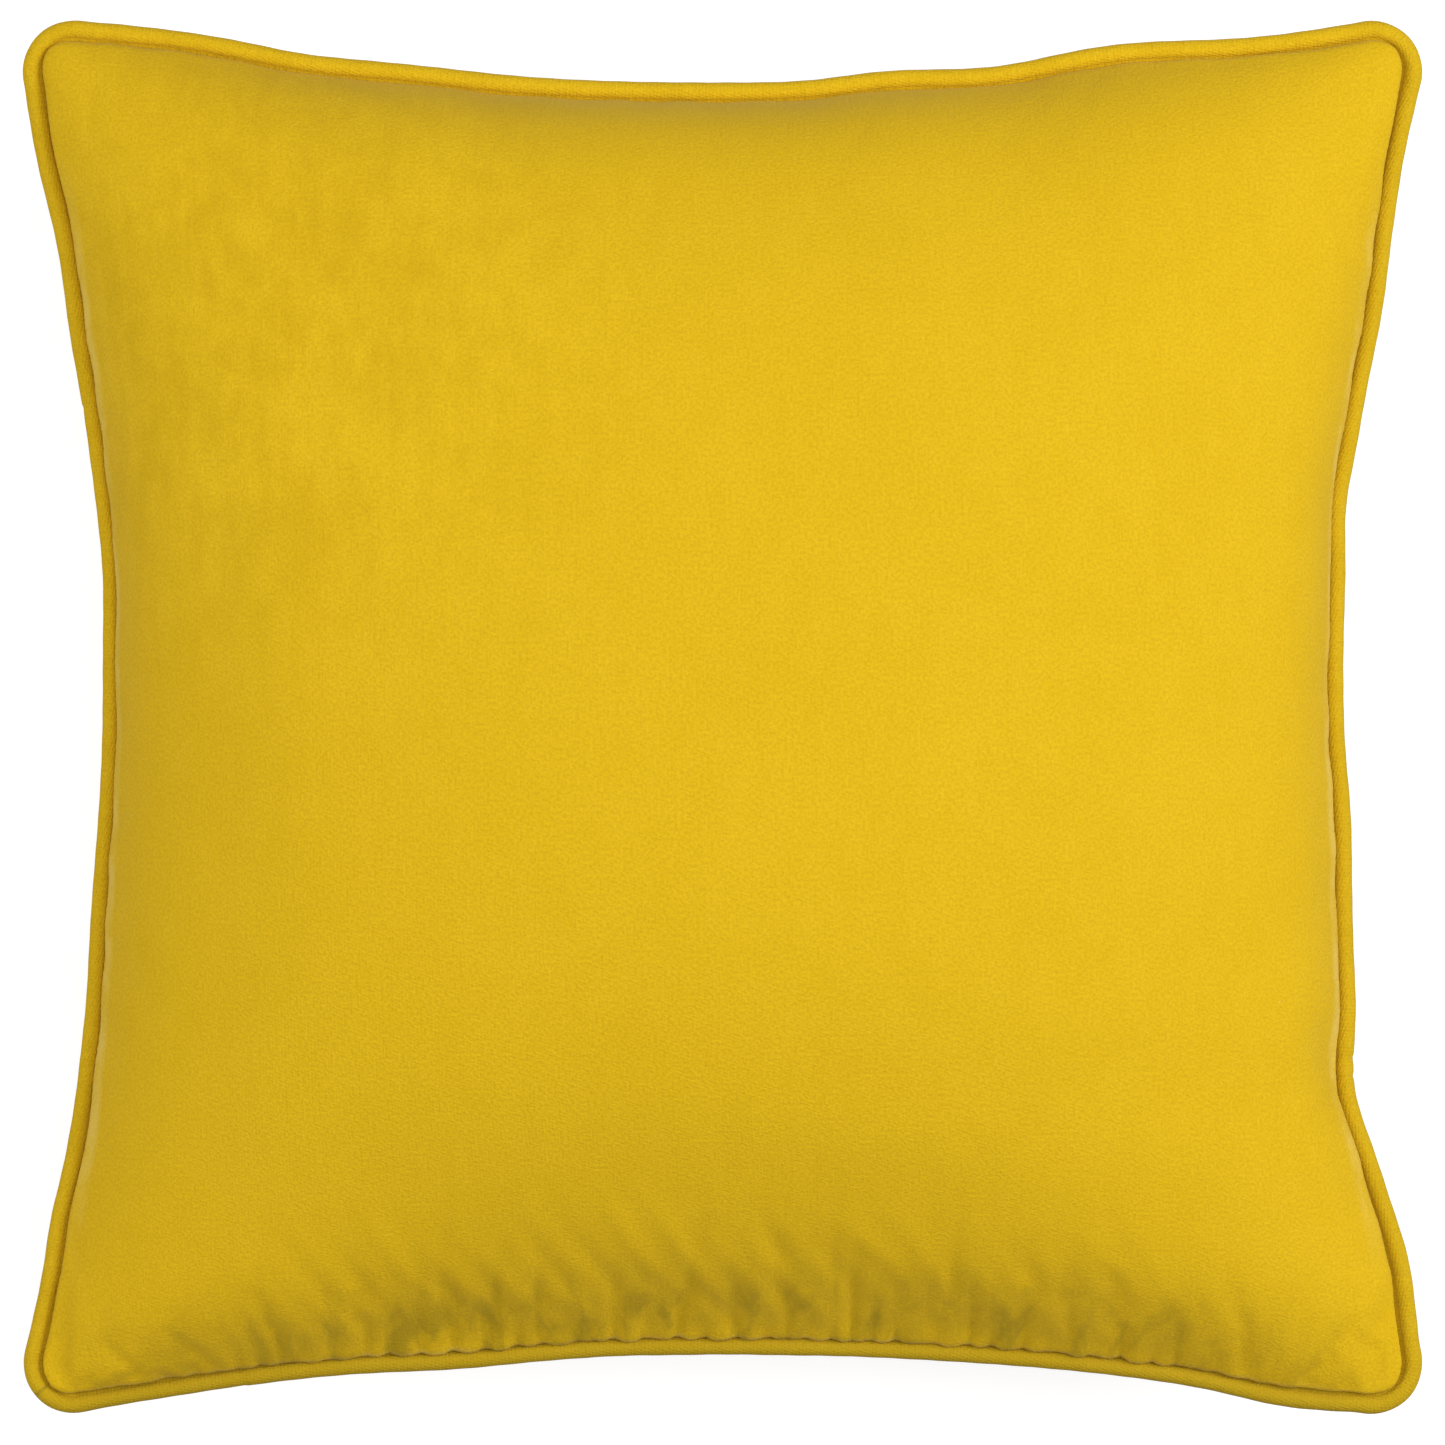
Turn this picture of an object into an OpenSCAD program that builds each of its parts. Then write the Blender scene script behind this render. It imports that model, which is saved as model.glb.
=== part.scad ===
// Square throw pillow with self-piped edges.
// A velvet cover, closed by a concealed zip along its bottom edge, holds a stuffed pad.
// The pillow lies on its back: +Z is out of the front face, -Y is the zip edge,
// and the origin is on the resting surface, below the middle of the pillow.

/* [Pillow] */
// Width from piping to piping across the corners, along X
pillow_w = 440; // [400:5:480]
// Length from piping to piping across the corners, along Y
pillow_l = 438; // [400:1:480]
// Outer radius of a corner
corner_r = 16; // [15.5:0.5:20]
// How far the middle of the bottom edge bows in
bow_bottom = 19; // [12:0.5:26]
// How far the middle of the right edge bows in
bow_right = 25; // [12:0.5:30]
// How far the middle of the top edge bows in
bow_top = 19.5; // [12:0.5:30]
// How far the middle of the left edge bows in
bow_left = 25; // [12:0.5:30]
// Height of the front panel's crown above the seam
crown_front = 78; // [60:1:90]
// Height of the seam above the surface that the pillow lies on
crown_back = 68; // [55:1:80]
// Share of the back panel's half width that lies flat on that surface
flat_share = 0.38; // [0.2:0.02:0.5]

/* [Cloth and piping] */
// Thickness of the velvet
velvet_t = 0.8; // [0.6:0.1:1]
// Outer radius of the piping
piping_r = 3.1; // [2.9:0.1:3.3]
// Radius of the cord inside the piping
cord_r = 2.1; // [1.8:0.1:2.2]
// Width of the seam allowances behind the piping
allowance = 11; // [10:0.5:11]
// Thickness of the pad's cotton casing
casing_t = 0.5; // [0.4:0.1:0.6]
// Space between the piping and the pad, at the corners
pad_inset = 19.5; // [19:0.5:22]

/* [Zip] */
// Half the length of the zip, from stop to stop
zip_half = 150; // [120:5:150]
// Distance from one tooth to the next on the same tape
tooth_pitch = 5; // [4:0.5:6]
// Length of the slider
slider_l = 10; // [9:0.5:11]
// Length of the pull tab below its pin
pull_l = 22; // [16:1:26]

/* [Hidden] */

$fn = 64;
gap = 0.05;                  // between layers that are sewn together
lip_inset = 3.6;             // from the piping's middle to the edge of a panel
inner_inset = lip_inset + 2; // to where a panel's wrong side leaves its seam allowance
seam_inset = inner_inset + 1;       // to the piping seam
thread_r = 0.2;

// Layers of the seam, as heights above or below the middle of the piping
sleeve_half = 0.7;
layer_z = sleeve_half + gap;
layer_end_z = layer_z + velvet_t;

// The zip hangs below the piping, inside the bottom seam
tape_t = 0.6;
tape_inset = lip_inset + velvet_t + 0.25;   // outer face of the tapes' upright parts
tape_width = 12;                    // inset of the tapes' inner edges
slit_top = 3.35;                    // depths below the seam
slit_bottom = 4.65;
tape_back_z = 6.7;
back_layer_z = tape_back_z + tape_t + gap;
teeth_inset = tape_inset + tape_t + gap;
teeth_t = 1.6;
teeth_top = 2.3;
teeth_bottom = 5.7;
spine_t = 0.7;
tooth_reach = 2;
tooth_w = 1.5;
stop_l = 2.5;
tail_l = 12;                        // tape beyond each stop
zip_zone = zip_half + 15;           // the back panel hangs apart from here inwards
zip_fade = zip_zone + 15;           // and is sewn to the front from here outwards
zip_seam_inset = 9.2;
slider_clear = 0.3;
slider_end = zip_half - stop_l - 1.5;
slider_start = slider_end - slider_l;
neck_start = slider_start + slider_l / 2;
neck_l = slider_l / 2 - 1;
neck_t = 0.8;
teeth_end = neck_start - 1.5;
pin_at = [slider_start + slider_l / 2, 0.6, 5.4];   // along the zip, inset, depth
pin_r = 0.6;
pin_clear = 0.08;
eye_r = 1.3;
eye_half = 1.8;
ear_t = 0.8;

cover_steps = 10;            // rings from the edge of a panel to its middle
pad_steps = 8;
side_steps = 10;             // stations along an edge
corner_steps = 6;            // stations round a corner
run_end = 0.2;               // where one run of thread stops short of the next
side_full = 2;               // roundness of the crown over the middle of an edge
corner_full = 1.15;          // and towards a corner
cover_power = 2.2;
pad_power = 2.3;
pad_corner_r = 22;
pad_bow = 0.8;               // the pad bows in less, over its shorter sides
casing_inset = 1.6;          // to where the casing's inner face leaves its seam allowance

// An outline is [half width, half length, corner radius, bows of the four sides].
// Side 0 is the bottom, 1 the right, 2 the top and 3 the left.
bows = [bow_bottom, bow_right, bow_top, bow_left];
seam_line = [pillow_w / 2 - piping_r, pillow_l / 2 - piping_r, corner_r - piping_r, bows];
pad_line = [seam_line[0] - pad_inset, seam_line[1] - pad_inset, pad_corner_r, pad_bow * bows];

function half_run(o, i) = (i % 2 == 0 ? o[0] : o[1]) - o[2];
function run_out(o, i) = (i % 2 == 0 ? o[1] : o[0]) - o[2];
function both_r(o, i) = (pow(half_run(o, i), 2) + pow(o[3][i], 2)) / (2 * o[3][i]);
function bow_r(o, i) = both_r(o, i) - o[2];
function bow_out(o, i) = run_out(o, i) + both_r(o, i) - o[3][i];
function bow_angle(o, i) = asin(half_run(o, i) / both_r(o, i));
function arc_deg(o, i, s) = s / bow_r(o, i) * 180 / PI;
function half_arc(o, i) = bow_angle(o, i) * PI / 180 * bow_r(o, i);

function turned(p, a) = [p[0] * cos(a) - p[1] * sin(a), p[0] * sin(a) + p[1] * cos(a)];

// Stations go round the outline once: [kind, side, angle, share of the way to the corner]
zone_share = zip_zone / half_arc(seam_line, 0);
fade_share = zip_fade / half_arc(seam_line, 0);
zip_shares = concat(
    [-1, -(1 + fade_share) / 2, -fade_share],
    [for (j = [0 : side_steps - 4]) zone_share * (2 * j / (side_steps - 4) - 1)],
    [fade_share, (1 + fade_share) / 2]
);
even_shares = [for (j = [0 : side_steps + 1]) 2 * j / (side_steps + 2) - 1];
function side_shares(i) = i == 0 ? zip_shares : even_shares;
function side_stations(o, i) = [for (f = side_shares(i)) [0, i, f * bow_angle(o, i), f]];
function corner_stations(o, i) = [
    for (j = [0 : corner_steps - 1])
        let (a = -90 - bow_angle(o, i), b = bow_angle(o, (i + 1) % 4))
            [1, i, a + (b - a) * j / corner_steps, 1]
];
function stations(o) = [for (i = [0 : 3]) each concat(side_stations(o, i), corner_stations(o, i))];

// The point of a station, moved in from the outline by inset
function side_point(o, s, inset) = let (r = bow_r(o, s[1]) + inset)
    turned([r * sin(s[2]), r * cos(s[2]) - bow_out(o, s[1])], 90 * s[1]);
function corner_point(o, s, inset) = let (r = o[2] - inset)
    turned([half_run(o, s[1]) + r * cos(s[2]), r * sin(s[2]) - run_out(o, s[1])], 90 * s[1]);
function at(o, s, inset) = s[0] == 0 ? side_point(o, s, inset) : corner_point(o, s, inset);

// How full the crown is over a station, and how far the zip holds the back panel open there
function fullness(s) = side_full + (corner_full - side_full) * pow(abs(s[3]), 3);
function smooth(x) = x * x * (3 - 2 * x);
function between(x) = min(1, max(0, x));
function opened(s) = s[0] == 1 || s[1] > 0
    ? 0 : smooth(between((fade_share - abs(s[3])) / (fade_share - zone_share)));

// One ring of points at a height, and one ring of a crowned panel
function flat_ring(o, inset, z) = [for (s = stations(o)) concat(at(o, s, inset), z)];
function crown_ring(o, inset, share, flat, from, to, power) = [
    for (s = stations(o))
        let (k = flat + (1 - flat) * share, p = at(o, s, inset))
            [p[0] * k, p[1] * k, from + (to - from) * pow(1 - pow(share, power), 1 / fullness(s))]
];
function shares(steps) = [for (j = [1 : steps]) cos(90 * j / steps)];
function crown(o, inset, flat, from, to, power, steps) = [
    for (share = shares(steps))
        if (flat > 0 || share > 0.001) crown_ring(o, inset, share, flat, from, to, power)
];

// Joins rings and single points into one closed surface; flip turns its faces over
function strip(a, b, na, nb) =
    na > 1 && nb > 1 ? [for (j = [0 : na - 1]) let (k = (j + 1) % na)
        each [[a + j, b + j, b + k], [a + j, b + k, a + k]]]
    : na > 1 ? [for (j = [0 : na - 1]) [a + j, b, a + (j + 1) % na]]
    : nb > 1 ? [for (j = [0 : nb - 1]) [a, b + j, b + (j + 1) % nb]]
    : [];
function starts(rings, j = 0, at = 0) = j == len(rings)
    ? [] : concat([at], starts(rings, j + 1, at + len(rings[j])));
module skin(rings, closed, flip) {
    first = starts(rings);
    last = len(rings) - 1;
    faces = concat(
        [for (j = [0 : last - 1])
            each strip(first[j], first[j + 1], len(rings[j]), len(rings[j + 1]))],
        closed ? strip(first[last], first[0], len(rings[last]), len(rings[0])) : []
    );
    polyhedron([for (r = rings) each r], flip ? [for (f = faces) [f[2], f[1], f[0]]] : faces);
}
function backwards(list) = [for (j = [len(list) - 1 : -1 : 0]) list[j]];

// Sweeps a profile, drawn as [inset, height], along one side between two arc lengths
module along_side(o, i, from, to) {
    r = bow_r(o, i);
    rotate([0, 0, 90 * i])
        translate([0, -bow_out(o, i), 0])
            rotate([0, 0, 90 - arc_deg(o, i, to)])
                rotate_extrude(angle = arc_deg(o, i, to - from))
                    translate([r, 0])
                        children();
}
module round_corner(o, i) {
    a = bow_angle(o, i);
    b = bow_angle(o, (i + 1) % 4);
    rotate([0, 0, 90 * i])
        translate([half_run(o, i), -run_out(o, i), 0])
            rotate([0, 0, -90 - a])
                rotate_extrude(angle = 90 + a + b)
                    translate([o[2], 0])
                        mirror([1, 0])
                            children();
}
// Runs of stitching round the outline, leaving the middle of the bottom side open
module stitched_runs(o, open_half) {
    for (side = [-1, 1]) {
        ends = [side * (half_arc(o, 0) - run_end), side * open_half];
        along_side(o, 0, min(ends), max(ends))
            children();
    }
    for (i = [1 : 3])
        along_side(o, i, run_end - half_arc(o, i), half_arc(o, i) - run_end)
            children();
    for (i = [0 : 3])
        round_corner(o, i)
            children();
}
module along_zip(from, to) {
    along_side(seam_line, 0, from, to)
        children();
}
// Sweeps a closed profile of [inset, height] points round the outline in one piece
module swept_ring(o, profile) {
    rings = [for (s = stations(o)) [for (p = profile) concat(at(o, s, p[0]), p[1])]];
    skin(rings, true, true);
}
// A frame on the zip edge: x runs along the zip, y goes in from the piping, z is up
module at_zip(s) {
    translate([0, -bow_out(seam_line, 0), 0])
        rotate([0, 0, -arc_deg(seam_line, 0, s)])
            translate([0, bow_r(seam_line, 0), 0])
                children();
}
// A rectangle given by its insets and heights
module band(inset_a, inset_b, z_a, z_b) {
    translate([min(inset_a, inset_b), min(z_a, z_b)])
        square([abs(inset_b - inset_a), abs(z_b - z_a)]);
}
module thread_line(inset, z) {
    translate([inset, z])
        circle(thread_r);
}
module at_seam() {
    translate([0, 0, crown_back])
        children();
}

// Velvet cover
module cover_front() {
    color("gold")
        at_seam()
            skin(concat(
                [flat_ring(seam_line, allowance, layer_z), flat_ring(seam_line, lip_inset, layer_z)],
                crown(seam_line, lip_inset, 0, layer_z, crown_front, cover_power, cover_steps),
                [[[0, 0, crown_front]], [[0, 0, crown_front - velvet_t]]],
                backwards(crown(seam_line, inner_inset, 0, layer_end_z,
                    crown_front - velvet_t, cover_power, cover_steps)),
                [flat_ring(seam_line, inner_inset, layer_end_z),
                    flat_ring(seam_line, allowance, layer_end_z)]
            ), true, false);
}

// Rings of the back panel's edge: its height falls away from the piping along the zip
function edge_ring(inset_shut, inset_open, z_shut, z_open) = [
    for (s = stations(seam_line))
        let (w = opened(s))
            concat(at(seam_line, s, inset_shut + (inset_open - inset_shut) * w),
                z_shut + (z_open - z_shut) * w)
];
function edge_crown(inset, z_shut, z_open, to) = [
    for (share = shares(cover_steps)) [
        for (s = stations(seam_line))
            let (
                k = flat_share + (1 - flat_share) * share,
                p = at(seam_line, s, inset),
                from = z_shut + (z_open - z_shut) * opened(s),
                rise = pow(1 - pow(share, cover_power), 1 / fullness(s))
            )
            [p[0] * k, p[1] * k, from + (to - from) * rise]
    ]
];
module cover_back() {
    lip_in = lip_inset + velvet_t + gap;
    color("goldenrod")
        at_seam()
            skin(concat(
                [edge_ring(allowance, allowance, -layer_z, -back_layer_z),
                    edge_ring(lip_in, lip_in, -layer_z, -back_layer_z),
                    edge_ring(lip_in - velvet_t / 2, lip_in, -layer_z, -slit_bottom),
                    edge_ring(lip_inset, lip_inset, -layer_z, -slit_bottom)],
                edge_crown(lip_inset, -layer_z, -slit_bottom, -crown_back),
                [[[0, 0, -crown_back]], [[0, 0, velvet_t - crown_back]]],
                backwards(edge_crown(inner_inset, -layer_end_z, -back_layer_z - velvet_t,
                    velvet_t - crown_back)),
                [edge_ring(inner_inset, inner_inset, -layer_end_z, -back_layer_z - velvet_t),
                    edge_ring(allowance, allowance, -layer_end_z, -back_layer_z - velvet_t)]
            ), true, true);
}

// A strip folded round the cord, its two edges sewn together as one allowance
module piping_sleeve() {
    fold_half = 0.03;
    bore_r = cord_r + 0.1;
    mouth = asin(sleeve_half / piping_r);
    throat = asin(fold_half / bore_r);
    outer_turn = [for (j = [0 : 11]) mouth - 180 + (360 - 2 * mouth) * j / 11];
    inner_turn = [for (j = [0 : 8]) 180 - throat - (360 - 2 * throat) * j / 8];
    profile = concat(
        [for (a = outer_turn) [-piping_r * cos(a), piping_r * sin(a)]],
        [[allowance, sleeve_half], [allowance, fold_half]],
        [for (a = inner_turn) [-bore_r * cos(a), bore_r * sin(a)]],
        [[allowance, -fold_half], [allowance, -sleeve_half]]
    );
    color("gold")
        at_seam()
            swept_ring(seam_line, profile);
}

module piping_cord() {
    color("ivory")
        at_seam()
            swept_ring(seam_line, [for (a = [-180 : 45 : 135]) cord_r * [-cos(a), sin(a)]]);
}

module cover_seam_thread() {
    line_z = layer_end_z + gap + thread_r;
    color("khaki")
        at_seam() {
            stitched_runs(seam_line, run_end / 2)
                thread_line(seam_inset, line_z);
            stitched_runs(seam_line, zip_fade)
                thread_line(seam_inset, -line_z);
        }
}

// Overlocked raw edges of the seam allowances
module cover_overlock_thread() {
    edge = allowance + gap;
    edge_t = 0.4;
    color("khaki")
        at_seam() {
            stitched_runs(seam_line, zip_fade)
                band(edge, edge + edge_t, -layer_end_z, layer_end_z);
            along_zip(-zip_zone, zip_zone)
                band(edge, edge + edge_t, -sleeve_half, layer_end_z);
            along_zip(-zip_zone, zip_zone)
                band(edge, edge + edge_t, -back_layer_z, -back_layer_z - velvet_t);
        }
}

// Blank label, sewn into the left side seam inside the cover
module care_label() {
    half = 14;
    label_t = 0.3;
    fold = allowance + 1.4;
    color("white")
        at_seam()
            along_side(seam_line, 3, -half, half) {
                band(seam_inset + 1, fold, -layer_end_z - gap, -layer_end_z - gap - label_t);
                band(fold - label_t, fold, -layer_end_z - gap, -19);
            }
}

// Concealed zip
module zip_tape_front() {
    color("wheat")
        at_seam()
            along_zip(-zip_half - tail_l, zip_half + tail_l) {
                band(tape_inset, tape_width, -layer_z, -layer_z - tape_t);
                band(tape_inset, tape_inset + tape_t, -layer_z, -slit_top);
            }
}

module zip_tape_back() {
    color("wheat")
        at_seam()
            along_zip(-zip_half - tail_l, zip_half + tail_l) {
                band(tape_inset, tape_width, -tape_back_z, -tape_back_z - tape_t);
                band(tape_inset, tape_inset + tape_t, -slit_bottom, -tape_back_z - tape_t);
            }
}

// A row of teeth as a closed comb that follows the tape. up is 1 if the teeth point up.
// Each column of the comb holds the spine's far edge, its near edge and the teeth's tips.
module comb(first, spine_z, up) {
    count = floor((teeth_end - first - tooth_w) / tooth_pitch) + 1;
    begin = stop_l + gap - zip_half;
    cuts = concat([begin], [for (j = [0 : count - 1]) each
        [first + j * tooth_pitch, first + j * tooth_pitch + tooth_w]], [slider_end + 1]);
    heights = [spine_z, spine_z + up * spine_t, spine_z + up * tooth_reach];
    r = bow_r(seam_line, 0);
    // points: for each cut, outer face then inner face, three heights each
    points = [for (s = cuts, side = [0, 1], z = heights)
        let (a = arc_deg(seam_line, 0, s), q = r + teeth_inset + side * teeth_t)
            [q * sin(a), q * cos(a) - bow_out(seam_line, 0), z]];
    last = len(cuts) - 1;
    function quad(a, b, c, d) = [[a, b, c], [a, c, d]];
    faces = concat(
        [for (j = [0 : last - 1]) let (p = 6 * j, n = p + 6) each concat(
            quad(p, n, n + 1, p + 1),
            quad(p + 4, n + 4, n + 3, p + 3),
            quad(p, p + 3, n + 3, n),
            j % 2 == 1
                ? concat(
                    quad(p + 1, n + 1, n + 2, p + 2),
                    quad(p + 5, n + 5, n + 4, p + 4),
                    quad(p + 2, n + 2, n + 5, p + 5),
                    quad(p + 1, p + 2, p + 5, p + 4),
                    quad(n + 2, n + 1, n + 4, n + 5))
                : quad(p + 1, n + 1, n + 4, p + 4))],
        quad(0, 1, 4, 3),
        [for (f = quad(0, 3, 4, 1)) [for (v = f) v + 6 * last]]
    );
    polyhedron(points, up < 0 ? faces : [for (f = faces) [f[2], f[1], f[0]]]);
}
module zip_teeth_front() {
    color("white")
        at_seam()
            comb(stop_l + 1 - zip_half, -teeth_top, -1);
}
module zip_teeth_back() {
    color("white")
        at_seam()
            comb(stop_l + 1 - zip_half + tooth_pitch / 2, -teeth_bottom, 1);
}

module zip_top_stops() {
    color("silver")
        at_seam() {
            along_zip(zip_half - stop_l + 0.1, zip_half)
                band(teeth_inset, teeth_inset + teeth_t, -teeth_top, -slit_top - 0.4);
            along_zip(zip_half - stop_l + 0.1, zip_half)
                band(teeth_inset, teeth_inset + teeth_t, -slit_bottom + 0.4, -teeth_bottom);
        }
}

module zip_bottom_stop() {
    color("silver")
        at_seam()
            along_zip(-zip_half, stop_l - zip_half)
                band(teeth_inset, teeth_inset + teeth_t, -teeth_top, -teeth_bottom);
}

module zip_thread_front() {
    color("khaki")
        at_seam()
            for (z = [layer_end_z + gap + thread_r, -layer_z - tape_t - gap - thread_r])
                along_zip(-zip_half - tail_l, zip_half + tail_l)
                    thread_line(zip_seam_inset, z);
}

module zip_thread_back() {
    under = back_layer_z + velvet_t + gap + thread_r;
    color("khaki")
        at_seam()
            for (z = [gap + thread_r - tape_back_z, -under])
                along_zip(-zip_half - tail_l, zip_half + tail_l)
                    thread_line(zip_seam_inset, z);
}

// Dense stitches that end the zip opening, above and below the joined allowances
module zip_bar_tacks() {
    tack_t = 0.4;
    tack_l = 2.5;
    line_z = layer_end_z + gap;
    color("khaki")
        at_seam()
            for (s = [-zip_fade - tack_l - 1, zip_fade + 1], z = [line_z, -line_z - tack_t])
                along_zip(s, s + tack_l)
                    band(seam_inset + 1, allowance - 0.5, z, z + tack_t);
}

// Slider: a channel behind the teeth, a neck through the slit and a bridge outside it
module zip_slider() {
    top = layer_z + tape_t + slider_clear;
    bottom = tape_back_z - slider_clear;
    wall_t = 0.35;
    channel = teeth_inset + teeth_t + slider_clear;
    back_t = 1.2;
    middle = (slit_top + slit_bottom) / 2;
    bridge = [lip_inset - 1.4, lip_inset - 0.4];
    color("silver")
        at_seam()
            union() {
                along_zip(slider_start, slider_end) {
                    band(channel, channel + back_t, -top, -bottom);
                    band(teeth_inset + slider_clear, channel + 0.1, -top, -top - wall_t);
                    band(teeth_inset + slider_clear, channel + 0.1, -bottom, wall_t - bottom);
                }
                along_zip(neck_start, neck_start + neck_l)
                    band(bridge[0], channel + 0.1, -middle - neck_t / 2, neck_t / 2 - middle);
                along_zip(slider_start + 1, slider_end - 1)
                    band(bridge[0], bridge[1], 0.55 - middle, -5.9);
                at_zip(pin_at[0]) {
                    for (side = [-1, 1])
                        translate([side * (eye_half + 0.3 + ear_t / 2), 0, 0]) {
                            translate([0, pin_at[1], -pin_at[2]])
                                rotate([0, 90, 0])
                                    cylinder(h = ear_t, r = eye_r, center = true);
                            translate([-ear_t / 2, pin_at[1], -pin_at[2] - 0.5])
                                cube([ear_t, bridge[0] - pin_at[1] + 0.1, 1]);
                        }
                    translate([0, pin_at[1], -pin_at[2]])
                        rotate([0, 90, 0])
                            cylinder(h = 2 * (eye_half + 0.3 + ear_t / 2), r = pin_r, center = true);
                }
            }
}

// Teardrop pull tab, hanging from the slider's pin
module zip_pull() {
    tab_t = 1;
    bulb_r = 3.2;
    color("silver")
        at_seam()
            at_zip(pin_at[0])
                translate([0, pin_at[1], -pin_at[2]])
                    difference() {
                        union() {
                            rotate([0, 90, 0])
                                cylinder(h = 2 * eye_half, r = eye_r, center = true);
                            translate([0, tab_t / 2, 0])
                                rotate([90, 0, 0])
                                    linear_extrude(tab_t)
                                        difference() {
                                            union() {
                                                translate([0, bulb_r - pull_l])
                                                    circle(bulb_r);
                                                polygon([[-1.6, -0.6], [1.6, -0.6],
                                                    [3.15, 3.7 - pull_l], [-3.15, 3.7 - pull_l]]);
                                            }
                                            translate([0, bulb_r - pull_l])
                                                circle(1.2);
                                        }
                        }
                        rotate([0, 90, 0])
                            cylinder(h = 8, r = pin_r + pin_clear, center = true);
                    }
}

// Stuffed pad
function pad_rings(sign, height) = concat(
    [flat_ring(pad_line, 6, sign * gap), flat_ring(pad_line, 0, sign * gap)],
    crown(pad_line, 0, sign > 0 ? 0 : flat_share, sign * gap, sign * height, pad_power, pad_steps),
    [[[0, 0, sign * height]], [[0, 0, sign * (height - casing_t)]]],
    backwards(crown(pad_line, casing_inset, sign > 0 ? 0 : flat_share,
        sign * (gap + casing_t), sign * (height - casing_t), pad_power, pad_steps)),
    [flat_ring(pad_line, casing_inset, sign * (gap + casing_t)),
        flat_ring(pad_line, 6, sign * (gap + casing_t))]
);
pad_front_h = crown_front - velvet_t - 0.3;
pad_back_h = crown_back - velvet_t - 0.1;

module pad_casing_front() {
    color("whitesmoke")
        at_seam()
            skin(pad_rings(1, pad_front_h), true, false);
}
module pad_casing_back() {
    color("whitesmoke")
        at_seam()
            skin(pad_rings(-1, pad_back_h), true, true);
}

module pad_filling() {
    rim = 7;
    up = pad_front_h - casing_t - 0.3;
    down = pad_back_h - casing_t - 0.1;
    color("snow")
        at_seam()
            skin(concat(
                [[[0, 0, -down]]],
                backwards(crown(pad_line, rim, flat_share, -gap, -down, pad_power, pad_steps)),
                crown(pad_line, rim, 0, gap, up, pad_power, pad_steps),
                [[[0, 0, up]]]
            ), false, false);
}

module pad_seam_thread() {
    color("white")
        at_seam()
            for (z = [-1, 1])
                stitched_runs(pad_line, 80)
                    thread_line(casing_inset + 1, z * (2 * gap + casing_t + thread_r));
}

// The opening that the filling went in by, closed with an overedge stitch
module pad_closing_stitch() {
    color("white")
        at_seam()
            along_side(pad_line, 0, -78, 78)
                thread_line(-thread_r - 5 * gap, 0);
}

cover_front();
cover_back();
piping_sleeve();
piping_cord();
cover_seam_thread();
cover_overlock_thread();
care_label();
zip_tape_front();
zip_tape_back();
zip_teeth_front();
zip_teeth_back();
zip_top_stops();
zip_bottom_stop();
zip_thread_front();
zip_thread_back();
zip_bar_tacks();
zip_slider();
zip_pull();
pad_casing_front();
pad_casing_back();
pad_filling();
pad_seam_thread();
pad_closing_stitch();
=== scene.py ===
# %% [markdown]
# # A piped velvet throw pillow
#
# The real thing is two square panels of cotton velvet, sewn face to face round a covered
# cord (the piping), closed along the bottom by a concealed zip, and filled with a separate
# stuffed pad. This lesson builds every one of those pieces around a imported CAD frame.
# The frame says where things are: the seam line, the zip's arc and the resting surface.
# Everything is in metres, +Z is out of the front face and -Y is the zip edge.

# %% Load the frame
import math

import bpy
import numpy as np
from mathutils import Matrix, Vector
from mathutils.bvhtree import BVHTree
from mathutils.kdtree import KDTree


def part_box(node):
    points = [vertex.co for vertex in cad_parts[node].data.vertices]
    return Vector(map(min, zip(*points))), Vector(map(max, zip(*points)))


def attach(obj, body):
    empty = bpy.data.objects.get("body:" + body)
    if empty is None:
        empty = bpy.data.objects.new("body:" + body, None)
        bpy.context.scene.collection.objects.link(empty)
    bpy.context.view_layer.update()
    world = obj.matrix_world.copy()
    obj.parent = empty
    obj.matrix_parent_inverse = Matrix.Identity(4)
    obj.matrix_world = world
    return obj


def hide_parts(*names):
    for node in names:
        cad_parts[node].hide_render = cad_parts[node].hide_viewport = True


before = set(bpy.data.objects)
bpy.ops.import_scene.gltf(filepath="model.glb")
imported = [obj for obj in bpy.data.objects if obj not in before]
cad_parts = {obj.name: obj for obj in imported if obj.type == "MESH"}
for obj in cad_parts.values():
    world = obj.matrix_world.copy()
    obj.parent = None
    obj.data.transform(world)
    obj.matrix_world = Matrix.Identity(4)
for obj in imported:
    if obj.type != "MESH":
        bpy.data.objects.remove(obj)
bpy.context.view_layer.update()

# %% Driving sizes
MM = 0.001
piping_low, piping_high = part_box("piping_sleeve")
PIPING_R = (piping_high.z - piping_low.z) / 2
SEAM_Z = (piping_high.z + piping_low.z) / 2
HALF_W = 216.9 * MM           # from the middle to the piping's middle, at the corners
HALF_L = 215.9 * MM
CORNER_R = 12.9 * MM
BOWS = (19 * MM, 25 * MM, 19.5 * MM, 25 * MM)   # bottom, right, top and left side
CROWN_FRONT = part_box("cover_front")[1].z - SEAM_Z
CROWN_BACK = SEAM_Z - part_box("cover_back")[0].z
VELVET_T = 0.8 * MM
print(f"seam at {SEAM_Z:.4f} m, piping radius {PIPING_R:.4f} m, "
      f"crowns {CROWN_FRONT:.3f} and {CROWN_BACK:.3f} m, "
      f"width off by {abs(piping_high.x - PIPING_R - HALF_W) / MM:.2f} mm")

# %% [markdown]
# ## The seam line
#
# A stuffed square pulls in between its corners, so each side of the seam is a shallow arc
# and each corner a tight one. The arcs could be a Blender curve, but a formula gives what
# the sewing needs as well: the direction that points into the pillow at every stitch.
# Hand sewing is never even, so each side also sways by a few millimetres.

# %% Arcs of one side
CORNER_POINTS = 40            # on half a corner
SIDE_POINTS = 400             # on the long arc between two corners


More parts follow.
